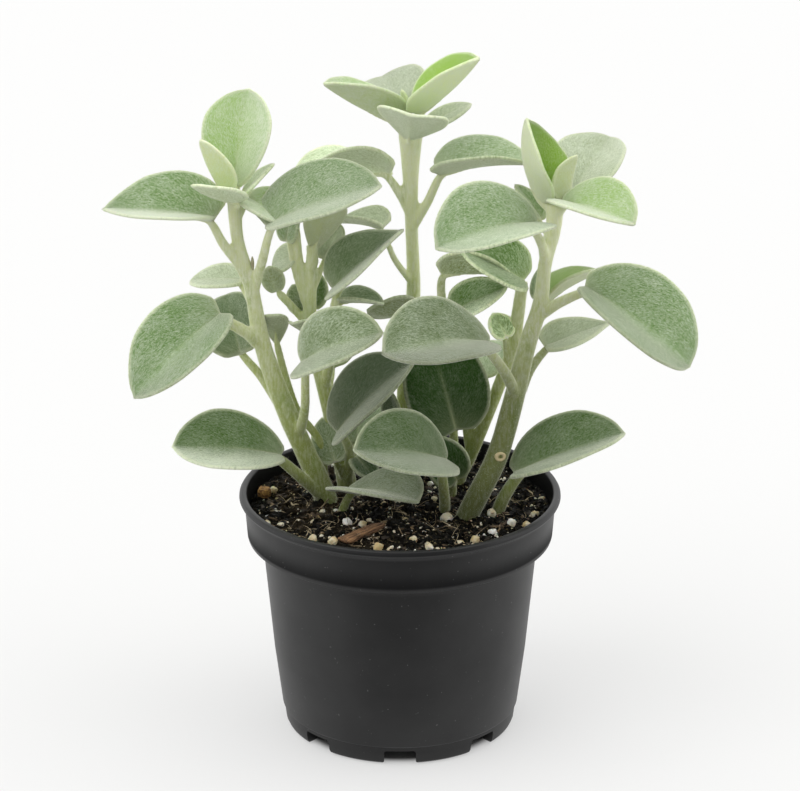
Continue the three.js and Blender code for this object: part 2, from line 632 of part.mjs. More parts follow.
export default plant;
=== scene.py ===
import json
import math

import bmesh
import bpy
import numpy as np
from mathutils import Euler, Matrix, Vector, noise

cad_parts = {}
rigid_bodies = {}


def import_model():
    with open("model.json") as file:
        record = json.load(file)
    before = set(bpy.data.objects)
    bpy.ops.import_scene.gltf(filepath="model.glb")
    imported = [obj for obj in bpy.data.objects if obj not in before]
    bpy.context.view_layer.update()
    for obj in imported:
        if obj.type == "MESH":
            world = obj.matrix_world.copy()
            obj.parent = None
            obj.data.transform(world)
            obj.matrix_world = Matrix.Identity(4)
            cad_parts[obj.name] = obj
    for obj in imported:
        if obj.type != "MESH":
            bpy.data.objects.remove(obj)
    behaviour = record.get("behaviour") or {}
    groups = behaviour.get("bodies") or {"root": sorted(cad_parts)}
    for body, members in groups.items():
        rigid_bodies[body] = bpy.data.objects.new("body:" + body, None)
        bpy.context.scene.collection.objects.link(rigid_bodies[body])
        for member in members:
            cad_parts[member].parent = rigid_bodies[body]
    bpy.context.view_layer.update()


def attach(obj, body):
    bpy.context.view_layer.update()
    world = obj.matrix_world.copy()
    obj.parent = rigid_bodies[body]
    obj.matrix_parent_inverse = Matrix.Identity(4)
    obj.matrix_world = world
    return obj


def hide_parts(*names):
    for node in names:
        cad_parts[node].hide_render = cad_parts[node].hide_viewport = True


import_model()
mm = 0.001  # lengths below are in millimetres, and become metres where a mesh is made


# Node trees

def maths(operation, swapped=False):
    # the method behind one operator of a Wire
    def method(self, other):
        first, second = (other, self) if swapped else (self, other)
        return self.bench.node("ShaderNodeMath", {"operation": operation}, {0: first, 1: second})
    return method


class Wire:
    # an output socket that can stand in a sum
    __add__, __radd__ = maths("ADD"), maths("ADD", True)
    __sub__, __rsub__ = maths("SUBTRACT"), maths("SUBTRACT", True)
    __mul__, __rmul__ = maths("MULTIPLY"), maths("MULTIPLY", True)
    __truediv__ = maths("DIVIDE")
    __pow__ = maths("POWER")
    __lt__ = maths("LESS_THAN")

    def __init__(self, bench, socket):
        self.bench = bench
        self.socket = socket

    def output(self, key):
        return Wire(self.bench, self.socket.node.outputs[key])

    def held(self, low, high):
        return self.bench.node("ShaderNodeClamp", {}, {"Value": self, "Min": low, "Max": high})


class Bench:
    # adds nodes to one tree
    def __init__(self, tree):
        self.tree = tree

    def node(self, kind, settings=None, values=None, output=0):
        made = self.tree.nodes.new(kind)
        for name, setting in (settings or {}).items():
            setattr(made, name, setting)
        for key, value in (values or {}).items():
            if isinstance(value, Wire):
                self.tree.links.new(value.socket, made.inputs[key])
            else:
                made.inputs[key].default_value = value
        return Wire(self, made.outputs[output])

    def ramp(self, value, stops):
        # a colour for each value, where a stop is a place from 0 to 1 and its colour
        made = self.node("ShaderNodeValToRGB", {}, {0: value})
        elements = made.socket.node.color_ramp.elements
        while len(elements) < len(stops):
            elements.new(0.5)
        for element, (place, colour) in zip(elements, stops):
            element.position = place
            element.color = (*colour, 1)
        return made

    def between(self, low, high, value):
        # 0 below low, 1 above high, smooth between them
        return self.node("ShaderNodeMapRange", {"interpolation_type": "SMOOTHSTEP"},
                         {"Value": value, "From Min": low, "From Max": high})

    def blend(self, factor, first, second):
        first, second = ((*c, 1) if isinstance(c, tuple) else c for c in (first, second))
        return self.node("ShaderNodeMix", {"data_type": "RGBA"}, {0: factor, 6: first, 7: second}, 2)

    def vector(self, operation, values, output=0):
        return self.node("ShaderNodeVectorMath", {"operation": operation}, values, output)

    def stretched(self, vector, scale):
        return self.vector("MULTIPLY", {0: vector, 1: scale})

    def scaled(self, vector, amount):
        return self.vector("SCALE", {0: vector, 3: amount})

    def axis(self, vector, key="X"):
        return self.node("ShaderNodeSeparateXYZ", {}, {0: vector}, key)

    def grain(self, vector, scale, detail=2.0, roughness=0.5, bent=0.0):
        return self.node("ShaderNodeTexNoise", {}, {"Vector": vector, "Scale": scale, "Detail": detail,
                                                    "Roughness": roughness, "Distortion": bent})


class Finish(Bench):
    # one material
    def __init__(self, name, fixed):
        self.material = bpy.data.materials.new(name)
        self.material.use_nodes = True
        super().__init__(self.material.node_tree)
        self.shader = self.tree.nodes["Principled BSDF"]
        for key, value in fixed.items():
            self.shader.inputs[key].default_value = value

    def place(self):
        return self.node("ShaderNodeTexCoord", {}, {}, "Object")

    def attribute(self, name, output="Fac"):
        return self.node("ShaderNodeAttribute", {"attribute_name": name}, {}, output)

    def feed(self, key, wire):
        self.tree.links.new(wire.socket, self.shader.inputs[key])

    def bump(self, height, strength, depth):
        self.feed("Normal", self.node("ShaderNodeBump", {}, {"Strength": strength, "Distance": depth * mm,
                                                             "Height": height}))


class Shape(Bench):
    # one Geometry Nodes tree, whose inputs are set on a modifier that is applied and then removed
    kinds = {int: "NodeSocketInt", float: "NodeSocketFloat", bpy.types.Object: "NodeSocketObject",
             bpy.types.Material: "NodeSocketMaterial"}

    def __init__(self, name, sizes):
        super().__init__(bpy.data.node_groups.new(name, "GeometryNodeTree"))
        for way in ("INPUT", "OUTPUT"):
            self.tree.interface.new_socket("Geometry", in_out=way, socket_type="NodeSocketGeometry")
        for key, value in sizes.items():
            self.tree.interface.new_socket(key, in_out="INPUT", socket_type=self.kinds[type(value)])
        self.sizes = sizes
        self.start = self.node("NodeGroupInput")

    def size(self, key):
        return self.start.output(key)

    def named(self, name, kind="FLOAT"):
        return self.node("GeometryNodeInputNamedAttribute", {"data_type": kind}, {"Name": name})

    def random(self, low, high, seed):
        # random vectors if low is a tuple, else random numbers
        kind, key, output = ("FLOAT_VECTOR", 0, 0) if isinstance(low, tuple) else ("FLOAT", 2, 1)
        values = {key: low, key + 1: high, "Seed": seed}
        return self.node("FunctionNodeRandomValue", {"data_type": kind}, values, output)

    def turned(self, angles):
        return self.node("FunctionNodeEulerToRotation", {}, {0: angles})

    def meshOf(self, key):
        return self.node("GeometryNodeObjectInfo", {}, {"Object": self.size(key)}, "Geometry")

    def copies(self, points, thing, placed):
        return self.node("GeometryNodeInstanceOnPoints", {}, {"Points": points, "Instance": thing, **placed})

    def together(self, first, second):
        both = self.node("GeometryNodeJoinGeometry", {}, {0: first})
        self.tree.links.new(second.socket, both.socket.node.inputs[0])
        return both

    def end(self, geometry):
        whole = self.node("GeometryNodeRealizeInstances", {}, {0: geometry})
        coated = self.node("GeometryNodeSetMaterial", {}, {"Geometry": whole,
                                                           "Material": self.size("Material")})
        last = self.tree.nodes.new("NodeGroupOutput")
        self.tree.links.new(coated.socket, last.inputs[0])
        return self

    def applyTo(self, source, name, changed=None):
        # the tree's result on a source object, as a plain mesh object
        sizes = {**self.sizes, **(changed or {})}
        modifier = source.modifiers.new(self.tree.name, "NODES")
        modifier.node_group = self.tree
        for item in self.tree.interface.items_tree:
            if item.in_out == "INPUT" and item.name in sizes:
                modifier[item.identifier] = sizes[item.name]
        made = frozen(source, name)
        source.modifiers.remove(modifier)
        return made


# Meshes

def show(name, data):
    piece = bpy.data.objects.new(name, data)
    bpy.context.scene.collection.objects.link(piece)
    return piece


def frozen(source, name):
    bpy.context.view_layer.update()
    seen = source.evaluated_get(bpy.context.evaluated_depsgraph_get())
    mesh = bpy.data.meshes.new_from_object(seen)
    mesh.name = name
    return show(name, mesh)


def drop(*pieces):
    for piece in pieces:
        bpy.data.objects.remove(piece, do_unlink=True)


def meshFrom(name, places, faces, smooth=True):
    mesh = bpy.data.meshes.new(name)
    mesh.from_pydata([tuple(p) for p in np.asarray(places) * mm], [], faces)
    mesh.polygons.foreach_set("use_smooth", [smooth] * len(mesh.polygons))
    mesh.update()
    return mesh


def withoutRepeats(corners):
    # a face's corners without those that fall together
    return [c for k, c in enumerate(corners) if c != corners[k - 1]]


def ringSkin(name, rings):
    # a skin through rings of points, where a ring of one point closes an end
    count = max(len(ring) for ring in rings)
    places, faces, last = [], [], None
    for ring in rings:
        line = [len(places) + k % len(ring) for k in range(count)]
        places += ring
        for k in range(count if last else 0):
            after = (k + 1) % count
            kept = withoutRepeats([last[k], last[after], line[after], line[k]])
            if len(kept) > 2:
                faces.append(kept)
        last = line
    return show(name, meshFrom(name, places, faces))


def addValues(mesh, name, kind, values):
    layer = mesh.attributes.new(name, kind, "POINT")
    field = {"FLOAT": "value", "FLOAT_VECTOR": "vector", "FLOAT_COLOR": "color"}[kind]
    layer.data.foreach_set(field, np.asarray(values, dtype=np.float32).ravel())


def dress(piece, material, replaced=()):
    # gives a finished piece its material and ties it to the frame
    if material:
        piece.data.materials.clear()
        piece.data.materials.append(material)
    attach(piece, "root")
    if replaced:
        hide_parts(*replaced)
    return piece


def mix(low, high, share):
    return low + (high - low) * share


def unit(vectors):
    return vectors / np.maximum(np.linalg.norm(vectors, axis=-1, keepdims=True), 1e-9)


def smoothPath(points, count):
    # a centripetal curve through the points, cut into equal lengths
    points = np.array(points, dtype=float)
    ends = [2 * points[0] - points[1], *points, 2 * points[-1] - points[-2]]
    fine = []
    for a, b, c, d in zip(ends, ends[1:], ends[2:], ends[3:]):
        before, here, after = (math.sqrt(np.linalg.norm(q - p)) for p, q in ((a, b), (b, c), (c, d)))
        leave = ((b - a) / before - (c - a) / (before + here) + (c - b) / here) * here
        reach = ((c - b) / here - (d - b) / (here + after) + (d - c) / after) * here
        for t in np.linspace(0, 1, 16, endpoint=False):
            cubic = (2 * b - 2 * c + leave + reach) * t ** 3
            fine.append(b + leave * t + (3 * c - 3 * b - 2 * leave - reach) * t ** 2 + cubic)
    fine = np.array(fine + [points[-1]])
    run = np.concatenate([[0], np.cumsum(np.linalg.norm(np.diff(fine, axis=0), axis=1))])
    wanted = np.linspace(0, run[-1], count)
    return np.stack([np.interp(wanted, run, fine[:, k]) for k in range(points.shape[1])], axis=1)


# Shoots: a leaf's stalk runs from the stem to the blade, base and tip end its midrib, and face is the
# way its upper side looks. Angles are in degrees. Fold lifts the two halves, arch bends the midrib, and
# neck and taper narrow the base and the tip. Above 0, skew fills out the base of the half at the right of
# the way from base to tip, feltAndSheen adds hairs and silver to that half, the silver a painted sheen,
# and paintedShade darkens it with painted shade. Below 0 they do so to the left half. Light scales a
# leaf's colour, partly its own tone and partly painted light and shade, or that of the low part of a
# shoot's stems, there a painted shade. Radius is the stalk's, and 0 stands for the usual one.
leafDefaults = dict(wide=0.9, fold=28, arch=20, twist=0, neck=0, taper=0, skew=0, radius=0, rib=1,
                    tone="mature", light=1, paintedShade=0, feltAndSheen=0)
smallLeafLength = 22
stalkRadii = dict(big=1.6, small=1.1)

shoots = {
    "left_shoot": dict(stems=[
        dict(path=[(-23, 4, 62), (-25, 4, 78), (-32.5, 3, 97.5), (-37.5, 2, 110), (-45.5, 1, 135),
                   (-49, 0, 156), (-53, 0, 171.5), (-54, 0, 186)],
             radii=[4.2, 3.9, 3.5, 3.4, 2.9, 2.4, 2.1, 2.4]),
    ], leaves=[
        dict(stalk=[(-54, 0, 184)], base=(-53.5, 3, 190), tip=(-49, 12, 219), face=(-0.4, -0.85, 0.3), fold=18,
             wide=1.1, neck=0.4, feltAndSheen=0.28, tone="young", light=1.2),
        dict(stalk=[(-54.5, 0, 184)], base=(-57, -2, 189), tip=(-64, -4, 206.5), face=(0.75, 0.6, 0.3),
             wide=0.84, arch=-25, tone="bud", light=1.28),
        dict(stalk=[(-54, 0, 182)], base=(-51.5, -4, 186), tip=(-66.5, -14, 194.3), face=(0.3, 0.55, 0.8),
             fold=20, wide=0.75, arch=-30, tone="pale", light=1.45),
        dict(stalk=[(-53.5, 0, 183)], base=(-50.2, 1, 187), tip=(-41, 4, 196), face=(-0.7, -0.2, 0.7), fold=10,
             wide=0.55, tone="pale", light=1.3),
        dict(stalk=[(-53.5, 0, 177)], base=(-50, 4, 184.5), tip=(-37.5, -6, 178.5), face=(0.3, -0.35, 0.9),
             fold=20, wide=1.05, feltAndSheen=0.4, tone="young"),
        dict(stalk=[(-50, 0, 157), (-52.5, -1, 163), (-57.5, -3, 171)], base=(-60.5, -2, 179.2),
             tip=(-96, -8, 184.4), face=(0.1, -0.42, 0.9), fold=32, wide=0.94, arch=18, twist=-16, neck=0.12,
             taper=0.3, skew=0.8, feltAndSheen=-0.85, light=1.12),
        dict(stalk=[(-48, 0, 154), (-45, -3, 165)], base=(-43, -6, 178), tip=(-6, -14, 194),
             face=(-0.4, -0.3, 0.85), fold=20, wide=0.86, neck=0.12, skew=-0.7, feltAndSheen=0.2, light=0.88),
        dict(stalk=[(-48.5, 1, 150)], base=(-52, 6, 155.3), tip=(-70, 18, 151), face=(0.2, -0.6, 0.78), fold=20,
             wide=0.52, tone="pale", light=1.2),
        dict(stalk=[(-47, 0, 136), (-50.5, -3, 140.5)], base=(-59, -4, 147), tip=(-86.5, -20, 123.8),
             face=(-0.24, -0.72, 0.56), fold=33, wide=0.88, arch=35, neck=0.1, taper=0.12, radius=2.1,
             paintedShade=-0.24, light=1.13),
        dict(stalk=[(-39.5, 2.5, 112), (-46.5, 6, 122)], base=(-53, 8, 129), tip=(-58.5, 28, 143),
             face=(-0.25, -0.6, 0.75), fold=26, wide=0.95, tone="old", light=0.9),
        dict(stalk=[(-25.5, 3, 79.5), (-28, 1, 82.5), (-34, -3, 90)], base=(-40, -6, 98), tip=(-75, -14, 104.3),
             face=(0.2, -0.56, 0.82), fold=26, arch=26, neck=0.32, radius=2, feltAndSheen=-0.75, tone="old",
             light=1.15),
        dict(stalk=[(-33.5, 1, 104), (-31.5, -8, 115)], base=(-31.6, -16, 134.6), tip=(-5.5, -26, 148.4),
             face=(-0.5, -0.55, 0.65), fold=32, arch=40, neck=0.1, skew=0.62, paintedShade=0.2, tone="grey", light=1.1),
        dict(stalk=[(-25.5, 5, 84), (-27, 9, 97), (-34.5, 10, 108)], base=(-41, 10, 132), tip=(-42, 0, 145.5),
             face=(0, 0.95, 0.3), fold=16, neck=0.8, radius=1.4),
    ]),
    "middle_shoot": dict(stems=[
        dict(path=[(-17, 15, 62), (-18, 15, 79), (-23.5, 14, 106.5), (-28.8, 12.5, 130), (-30.6, 12, 142),
                   (-32.3, 12, 152), (-34.5, 12, 174)],
             radii=[3.6, 3.4, 2.9, 2.2, 1.5, 1.3, 1.3]),
        dict(path=[(-28.4, 12.5, 126), (-29.4, 11.5, 140), (-29.2, 11.5, 154), (-29, 12, 166)],
             radii=[1.8, 1.7, 1.7, 2]),
    ], leaves=[
        dict(stalk=[(-28.8, 12, 160)], base=(-28.7, 12, 164), tip=(-21.5, 4, 184), face=(-0.1, 0.85, 0.45),
             fold=16, wide=0.98, neck=0.75, radius=1.8, rib=0.6, tone="bud", light=0.95),
        dict(stalk=[(-31.5, 12, 145), (-35, 12, 157)], base=(-37.3, 12, 167.3), tip=(-34.5, 14, 181),
             face=(-0.3, -0.6, 0.6), fold=12, wide=0.6, radius=1),
        dict(stalk=[(-34.5, 12, 172)], base=(-34, 13, 177), tip=(-27, 16, 185), face=(-0.4, -0.6, 0.6),
             fold=14),
        dict(stalk=[(-30, 12, 137), (-36, 13, 144), (-40, 13, 148.5)], base=(-41, 13, 149.5),
             tip=(-43.4, 9, 159.3), face=(-0.2, 0.85, 0.4), fold=12, wide=0.68, radius=1.3, rib=0.3),
        dict(stalk=[(-32.5, 12, 155)], base=(-34.5, 14, 162), tip=(-42.5, 20, 155.5), face=(-0.4, -0.6, 0.65),
             fold=12, wide=0.88, tone="pale"),
        dict(stalk=[(-30, 12, 137)], base=(-31, 14, 142), tip=(-36, 19, 149.5), face=(-0.2, -0.6, 0.7), fold=10,
             wide=0.95, tone="grey"),
        dict(stalk=[(-29, 12, 138)], base=(-29.6, 14, 143.5), tip=(-28, 22, 153.5), face=(0.2, -0.6, 0.7),
             fold=10, wide=0.72, tone="old"),
        dict(stalk=[(-28, 12, 131)], base=(-27.8, 8, 134.5), tip=(-35.2, -2, 143.3), face=(0.2, 0.75, 0.6),
             fold=25, wide=0.8),
        dict(stalk=[(-25.5, 13, 115), (-23.2, 7, 128), (-22.4, 4.5, 143)], base=(-21.8, 4, 153),
             tip=(1, -4, 176.3), face=(-0.5, -0.34, 0.77), fold=24, wide=0.98, arch=6, taper=0.5, feltAndSheen=0.7,
             tone="old", light=1.02),
        dict(stalk=[(-23, 6, 132), (-22, 7.5, 142)], base=(-20.5, 8, 147.6), tip=(-5.5, 4, 148),
             face=(0.2, -0.05, 0.95), fold=24, feltAndSheen=0.3, tone="old"),
        dict(stalk=[(-18, 14, 80), (-17.5, 11, 85), (-17, 6, 95)], base=(-20.5, -2, 104.5), tip=(4.5, -6, 131),
             face=(-0.7, -0.3, 0.65), fold=20, feltAndSheen=0.2, tone="inShade", light=0.68),
        dict(stalk=[(-18.5, 14, 80.5)], base=(-21.8, 6, 91.2), tip=(-26.3, 14, 103.8), face=(-0.2, -0.7, 0.6),
             fold=10, wide=0.75, tone="grey"),
        dict(stalk=[(-18, 13, 88)], base=(-15, 8, 92), tip=(-8.5, 2, 86), face=(0.3, -0.5, 0.8), fold=8,
             tone="inShade"),
        dict(stalk=[(-24, 15, 108), (-24, 19, 114)], base=(-23, 25, 118), tip=(-28, 48, 122),
             face=(0, 0.3, 0.95)),
        dict(stalk=[(-18.5, 16, 80), (-16, 20, 86)], base=(-15, 25, 90), tip=(-12, 48, 100),
             face=(0, 0.1, 0.95), tone="old"),
        dict(stalk=[(-28.2, 12, 152)], base=(-25.2, 14, 160.5), tip=(-19.5, 20, 170), face=(-0.3, -0.8, 0.4),
             fold=14, wide=0.7, tone="pale"),
    ]),
    "centre_shoot": dict(stems=[
        dict(path=[(5, 24, 62), (3, 24, 80), (1.5, 24, 106.5), (4.5, 23, 146), (4, 22, 165), (3.5, 21, 186),
                   (3.5, 20, 204)],
             radii=[3, 2.9, 2.7, 2.4, 2.2, 2.7, 4.2]),
    ], leaves=[
        dict(stalk=[(3, 20, 202)], base=(-0.6, 18, 207), tip=(-24.5, 8, 222), face=(0.4, 0.25, 0.9), fold=42,
             wide=0.78, arch=-16, tone="young", light=1.08),
        dict(stalk=[(3.5, 20, 202)], base=(0, 24, 209.5), tip=(-6, 44, 214.5), face=(-0.2, -0.5, 0.85), fold=20,
             wide=1.2, tone="pale", light=0.85),
        dict(stalk=[(4, 20, 202)], base=(5, 16, 210), tip=(25.5, 10, 230), face=(-0.69, 0.06, 0.7), fold=38,
             wide=1, arch=-22, neck=0.12, tone="fresh", light=1.3),
        dict(stalk=[(3.5, 20, 199)], base=(3, 15, 201.6), tip=(3.8, -4, 214.6), face=(0.2, 0.5, 0.8), fold=14,
             wide=1.45, neck=0.5, radius=1.8, rib=0.5, tone="pale", light=1.35),
        dict(stalk=[(4, 20, 200)], base=(9, 22, 203), tip=(23.5, 28, 209.5), face=(-0.3, -0.4, 0.9), fold=10,
             wide=0.55, tone="pale"),
        dict(stalk=[(3.5, 20, 200)], base=(1.2, 16, 207.5), tip=(0.6, 16, 217.5), face=(0.8, 0.5, 0), fold=26,
             wide=0.5, tone="bud"),
        dict(stalk=[(4, 19, 200)], base=(3.4, 15, 207), tip=(3.8, 16, 215.5), face=(-0.8, 0.5, 0), fold=26,
             wide=0.5, tone="bud"),
        dict(stalk=[(3.5, 21, 174), (0, 20, 181)], base=(-3.2, 20, 188.2), tip=(-35, 33, 186),
             face=(0.1, 0.12, 0.95), fold=24, arch=8, twist=-76, neck=0.26, skew=-0.45, paintedShade=-0.3, tone="pale",
             light=1.75),
        dict(stalk=[(4, 21, 169), (9, 20, 178)], base=(12.4, 18, 188.8), tip=(43, 14, 193.3),
             face=(-0.1, 0.01, 0.98), fold=26, wide=0.94, arch=24, light=1.1),
        dict(stalk=[(3.5, 22, 150), (-2, 16, 160)], base=(-5.5, 12, 172), tip=(-20.5, 21, 171),
             face=(-0.1, 0.1, 0.95), wide=0.98, tone="pale", light=1.1),
        dict(stalk=[(4, 22, 136)], base=(4, 17, 141), tip=(-10.8, 10, 144), face=(0, 0.75, 0.66), fold=20,
             wide=1.05, arch=-45, tone="old"),
        dict(stalk=[(2, 23, 92), (1, 18, 95)], base=(0.5, 14, 99.5), tip=(-2.5, 8, 115), face=(-0.6, -0.6, 0.2),
             fold=12, wide=0.7, tone="inShade"),
        dict(stalk=[(2, 25, 108), (4, 28, 113)], base=(6, 31, 118), tip=(14, 53, 128), face=(0, 0.2, 0.95)),
        dict(stalk=[(3, 25, 84), (5, 28, 88)], base=(6, 31, 91), tip=(9, 50, 102), face=(0, 0, 1), wide=0.8,
             tone="old"),
    ]),
    "right_shoot": dict(light=0.48, stems=[
        dict(path=[(17, -11, 62), (22.5, -10, 78), (32, -8, 98), (37, -6, 115.5), (42, -4, 137), (46, -2, 150),
                   (47.5, -1, 164), (50, 0, 175), (50.5, 0, 184)],
             radii=[4, 3.8, 3.7, 3.5, 3, 2.6, 2.3, 2.6, 3]),
    ], leaves=[
        dict(stalk=[(50.5, 0, 181)], base=(47.2, 0, 184.3), tip=(41, 3, 211.5), face=(0.93, -0.27, 0.2),
             fold=38, wide=1.14, arch=-55, tone="fresh", light=1.05),
        dict(stalk=[(51.5, 0, 181)], base=(54.2, -2, 185.5), tip=(57.2, 1, 199.8), face=(-0.85, 0.45, 0.2),
             fold=34, wide=0.95, arch=10, tone="bud"),
        dict(stalk=[(51, 1, 181)], base=(56.5, 9, 183.5), tip=(70, 32, 197), face=(-0.2, -0.6, 0.75),
             tone="pale"),
        dict(stalk=[(51, 0, 180)], base=(52.5, -4, 185.4), tip=(74.5, -26, 185), face=(0.1, -0.5, 0.85),
             fold=34, neck=0.2, skew=0.4, feltAndSheen=0.4, tone="young", light=1.1),
        dict(stalk=[(47.5, -1, 164), (46, -6, 172)], base=(44, -8, 179.4), tip=(11.5, -30, 178),
             face=(0.1, -0.5, 0.85), fold=36, wide=1.02, arch=40, neck=0.25, skew=-0.3, feltAndSheen=-0.1, light=1.1),
        dict(stalk=[(49, 0, 172)], base=(46, 6, 176.5), tip=(37.8, 12, 186.5), face=(0.5, -0.6, 0.6), fold=22,
             wide=0.52),
        dict(stalk=[(48, 0, 170)], base=(44, 8, 172), tip=(35, 18, 175), face=(0, -0.5, 0.8), fold=10,
             wide=0.8),
        dict(stalk=[(47, -2, 147), (53, -5, 152)], base=(60.5, -6, 157), tip=(94.5, -14, 132.5),
             face=(0.3, -0.7, 0.65), fold=38, arch=35, neck=0.18, radius=1.8, paintedShade=0.36, light=1.22),
        dict(stalk=[(46, -1, 148)], base=(48.3, 6, 148.5), tip=(66.5, 14, 156), face=(-0.3, 0.15, 0.95),
             fold=24, wide=1.05, tone="fresh", light=0.8),
        dict(stalk=[(45.5, -1, 146)], base=(45, 3, 151), tip=(47, 12, 158.5), face=(-0.7, -0.2, 0.5), fold=10,
             wide=0.5, tone="old"),
        dict(stalk=[(40, -4, 120), (43.5, 2, 126)], base=(48.5, 8, 131.5), tip=(71.3, 20, 136),
             face=(-0.1, -0.6, 0.8), wide=0.66, arch=10, taper=0.5, tone="pale"),
        dict(stalk=[(38.5, -6, 119), (34, -14, 131)], base=(28.4, -20, 142.9), tip=(-5.5, -38, 145.5),
             face=(0.2, -0.5, 0.8), fold=34, wide=1.06, arch=40, neck=0.38, skew=-0.25, radius=1.8, paintedShade=-0.5,
             tone="grey", light=0.96),
    ]),
    "right_back_shoot": dict(stems=[
        dict(path=[(19, 21, 62), (20, 20, 78), (24.5, 19, 89), (33.5, 16, 115), (38, 13, 130.5), (39, 12, 139),
                   (40.5, 9, 154)],
             radii=[2.3, 2.2, 2.1, 2.2, 2.3, 2.3, 2]),
    ], leaves=[
        dict(stalk=[(40, 10, 150)], base=(40.5, 7, 155), tip=(20, 2, 167), face=(0.35, -0.6, 0.72), fold=30,
             tone="old", light=1.8),
        dict(stalk=[(24, 19, 90), (18, 18, 134), (14, 14, 146)], base=(13.5, 10, 157), tip=(37, 6, 157),
             face=(0.2, 0.3, 0.9), fold=34, tone="old", light=1.5),
        dict(stalk=[(18.2, 18, 131)], base=(18.5, 13, 142.5), tip=(35.5, 7, 153), face=(-0.45, -0.68, 0.45),
             fold=36, wide=0.72, feltAndSheen=0.5, tone="old", light=1.6),
        dict(stalk=[(36, 14, 124)], base=(35.2, 9, 134.5), tip=(31, 13, 141.5), face=(0.2, -0.7, 0.6), fold=15,
             wide=1, tone="grey", light=2.1),
        dict(stalk=[(29, 18, 102), (29, 22, 108)], base=(28, 27, 113), tip=(28, 50, 118), face=(0, 0.1, 0.95)),
    ]),
    "front_low_leaf": dict(leaves=[
        dict(stalk=[(14, -3, 64), (15, -4, 77), (14.5, -10, 88)], base=(14.8, -14, 99.6), tip=(-15, -34, 111),
             face=(0.6, -0.4, 0.65), fold=34, wide=0.98, arch=32, neck=0.3, skew=-0.35, radius=1.8, feltAndSheen=-0.1,
             paintedShade=-0.24, tone="old", light=0.9),
    ]),
    "front_left_low_leaf": dict(leaves=[
        dict(stalk=[(-19, -6, 66), (-19.5, -6, 77)], base=(-17.5, -6, 85.5), tip=(6, -27, 90),
             face=(0.12, -0.2, 0.96), fold=24, wide=1.04, neck=0.24, skew=0.7, paintedShade=0.16, tone="grey",
             light=0.76),
    ]),
    "inner_low_leaves": dict(smooth=True, leaves=[
        dict(stalk=[(17, 11, 64), (17.5, 10, 80), (18, 8, 93)], base=(18.5, 4, 103.5), tip=(8.5, 12, 137),
             face=(0.2, -0.9, 0.35), fold=14, wide=0.82, radius=1.7, tone="inShade", light=0.83),
        dict(stalk=[(17.5, 10, 80.5)], base=(19, 3, 86), tip=(9.5, -1, 103), face=(0.3, -0.9, 0.1), fold=12,
             wide=0.75, tone="inShade"),
    ]),
    "right_low_leaf": dict(leaves=[
        dict(stalk=[(31, -3, 64), (33, -5, 78), (36, -7, 86)], base=(38.5, -8, 92.5), tip=(74, -14, 109),
             face=(-0.42, -0.32, 0.84), wide=0.84, arch=12, neck=0.22, radius=2.1, feltAndSheen=0.25, tone="old"),
    ]),
}


# Blades: the green under the hairs and how much silver they lay over it, on the upper and the under side
tones = {
    "mature": dict(face=(0.13, 0.25, 0.055), under=(0.25, 0.31, 0.11), felt=0.34, underFelt=0.45),
    "grey": dict(face=(0.12, 0.19, 0.055), under=(0.24, 0.28, 0.11), felt=0.32, underFelt=0.45),
    "old": dict(face=(0.06, 0.135, 0.015), under=(0.16, 0.21, 0.05), felt=0.16, underFelt=0.3),
    # this tone's dark green is painted shade, for leaves deep inside the plant
    "inShade": dict(face=(0.02, 0.07, 0.002), under=(0.09, 0.13, 0.03), felt=0.05, underFelt=0.15),
    "pale": dict(face=(0.27, 0.34, 0.17), under=(0.30, 0.36, 0.16), felt=0.55, underFelt=0.55),
    # the young and fresh blades' bright under sides are partly their pale felt and partly painted light shining
    # through them
    "young": dict(face=(0.27, 0.44, 0.10), under=(0.46, 0.55, 0.2), felt=0.38, underFelt=0.5),
    "fresh": dict(face=(0.20, 0.37, 0.012), under=(0.62, 0.70, 0.32), felt=0.06, underFelt=0.45),
    "bud": dict(face=(0.50, 0.58, 0.2), under=(0.54, 0.60, 0.28), felt=0.3, underFelt=0.35),
}
# rim and rimWidth give a pale band along each blade's edge, partly its pale margin and partly a painted
# highlight
leafLooks = dict(silver=(0.60, 0.67, 0.51), rib=(0.50, 0.56, 0.32), rim=(0.72, 0.76, 0.54), rimWidth=1.1,
                 ribPale=0.7, basePale=0.4, ribWidth=0.7, streaks=2.3, fine=1.2, patches=0.6, relief=0.3)
bladeForm = dict(rows=26, smallRows=15, thick=1.9, smallThick=1.5, rim=1.15, thinning=0.25, lobe=0.085,
                 lobeStart=0.05, lobeEnd=0.62, sweep=1.6, foldEnds=(1.1, 0.8), softEnds=(0.12, 0.5), cup=0.4,
                 keel=0.5, keelWidth=0.1, groove=0.22, grooveWidth=0.07, wave=0.02, ripple=0.6, seed=900)
outline = [(0, 0), (0.06, 0.46), (0.19, 0.84), (0.4, 1), (0.64, 0.88), (0.85, 0.54), (0.95, 0.27), (1, 0)]
across = np.array([0, 0.05, 0.12, 0.22, 0.35, 0.5, 0.65, 0.78, 0.88, 0.95, 1])
across = np.concatenate([-across[:0:-1], across])
midrib = len(across) // 2


def distanceToRim(points, rim):
    # shortest way in the plane of the unfolded blade from each point to its closed rim
    best = np.full(points.shape[:-1], 1e9)
    for a, b in zip(rim, np.roll(rim, -1, axis=0)):
        run = b - a
        share = np.clip(((points - a) @ run) / max(run @ run, 1e-9), 0, 1)
        best = np.minimum(best, np.linalg.norm(points - a - share[..., None] * run, axis=-1))
    return best


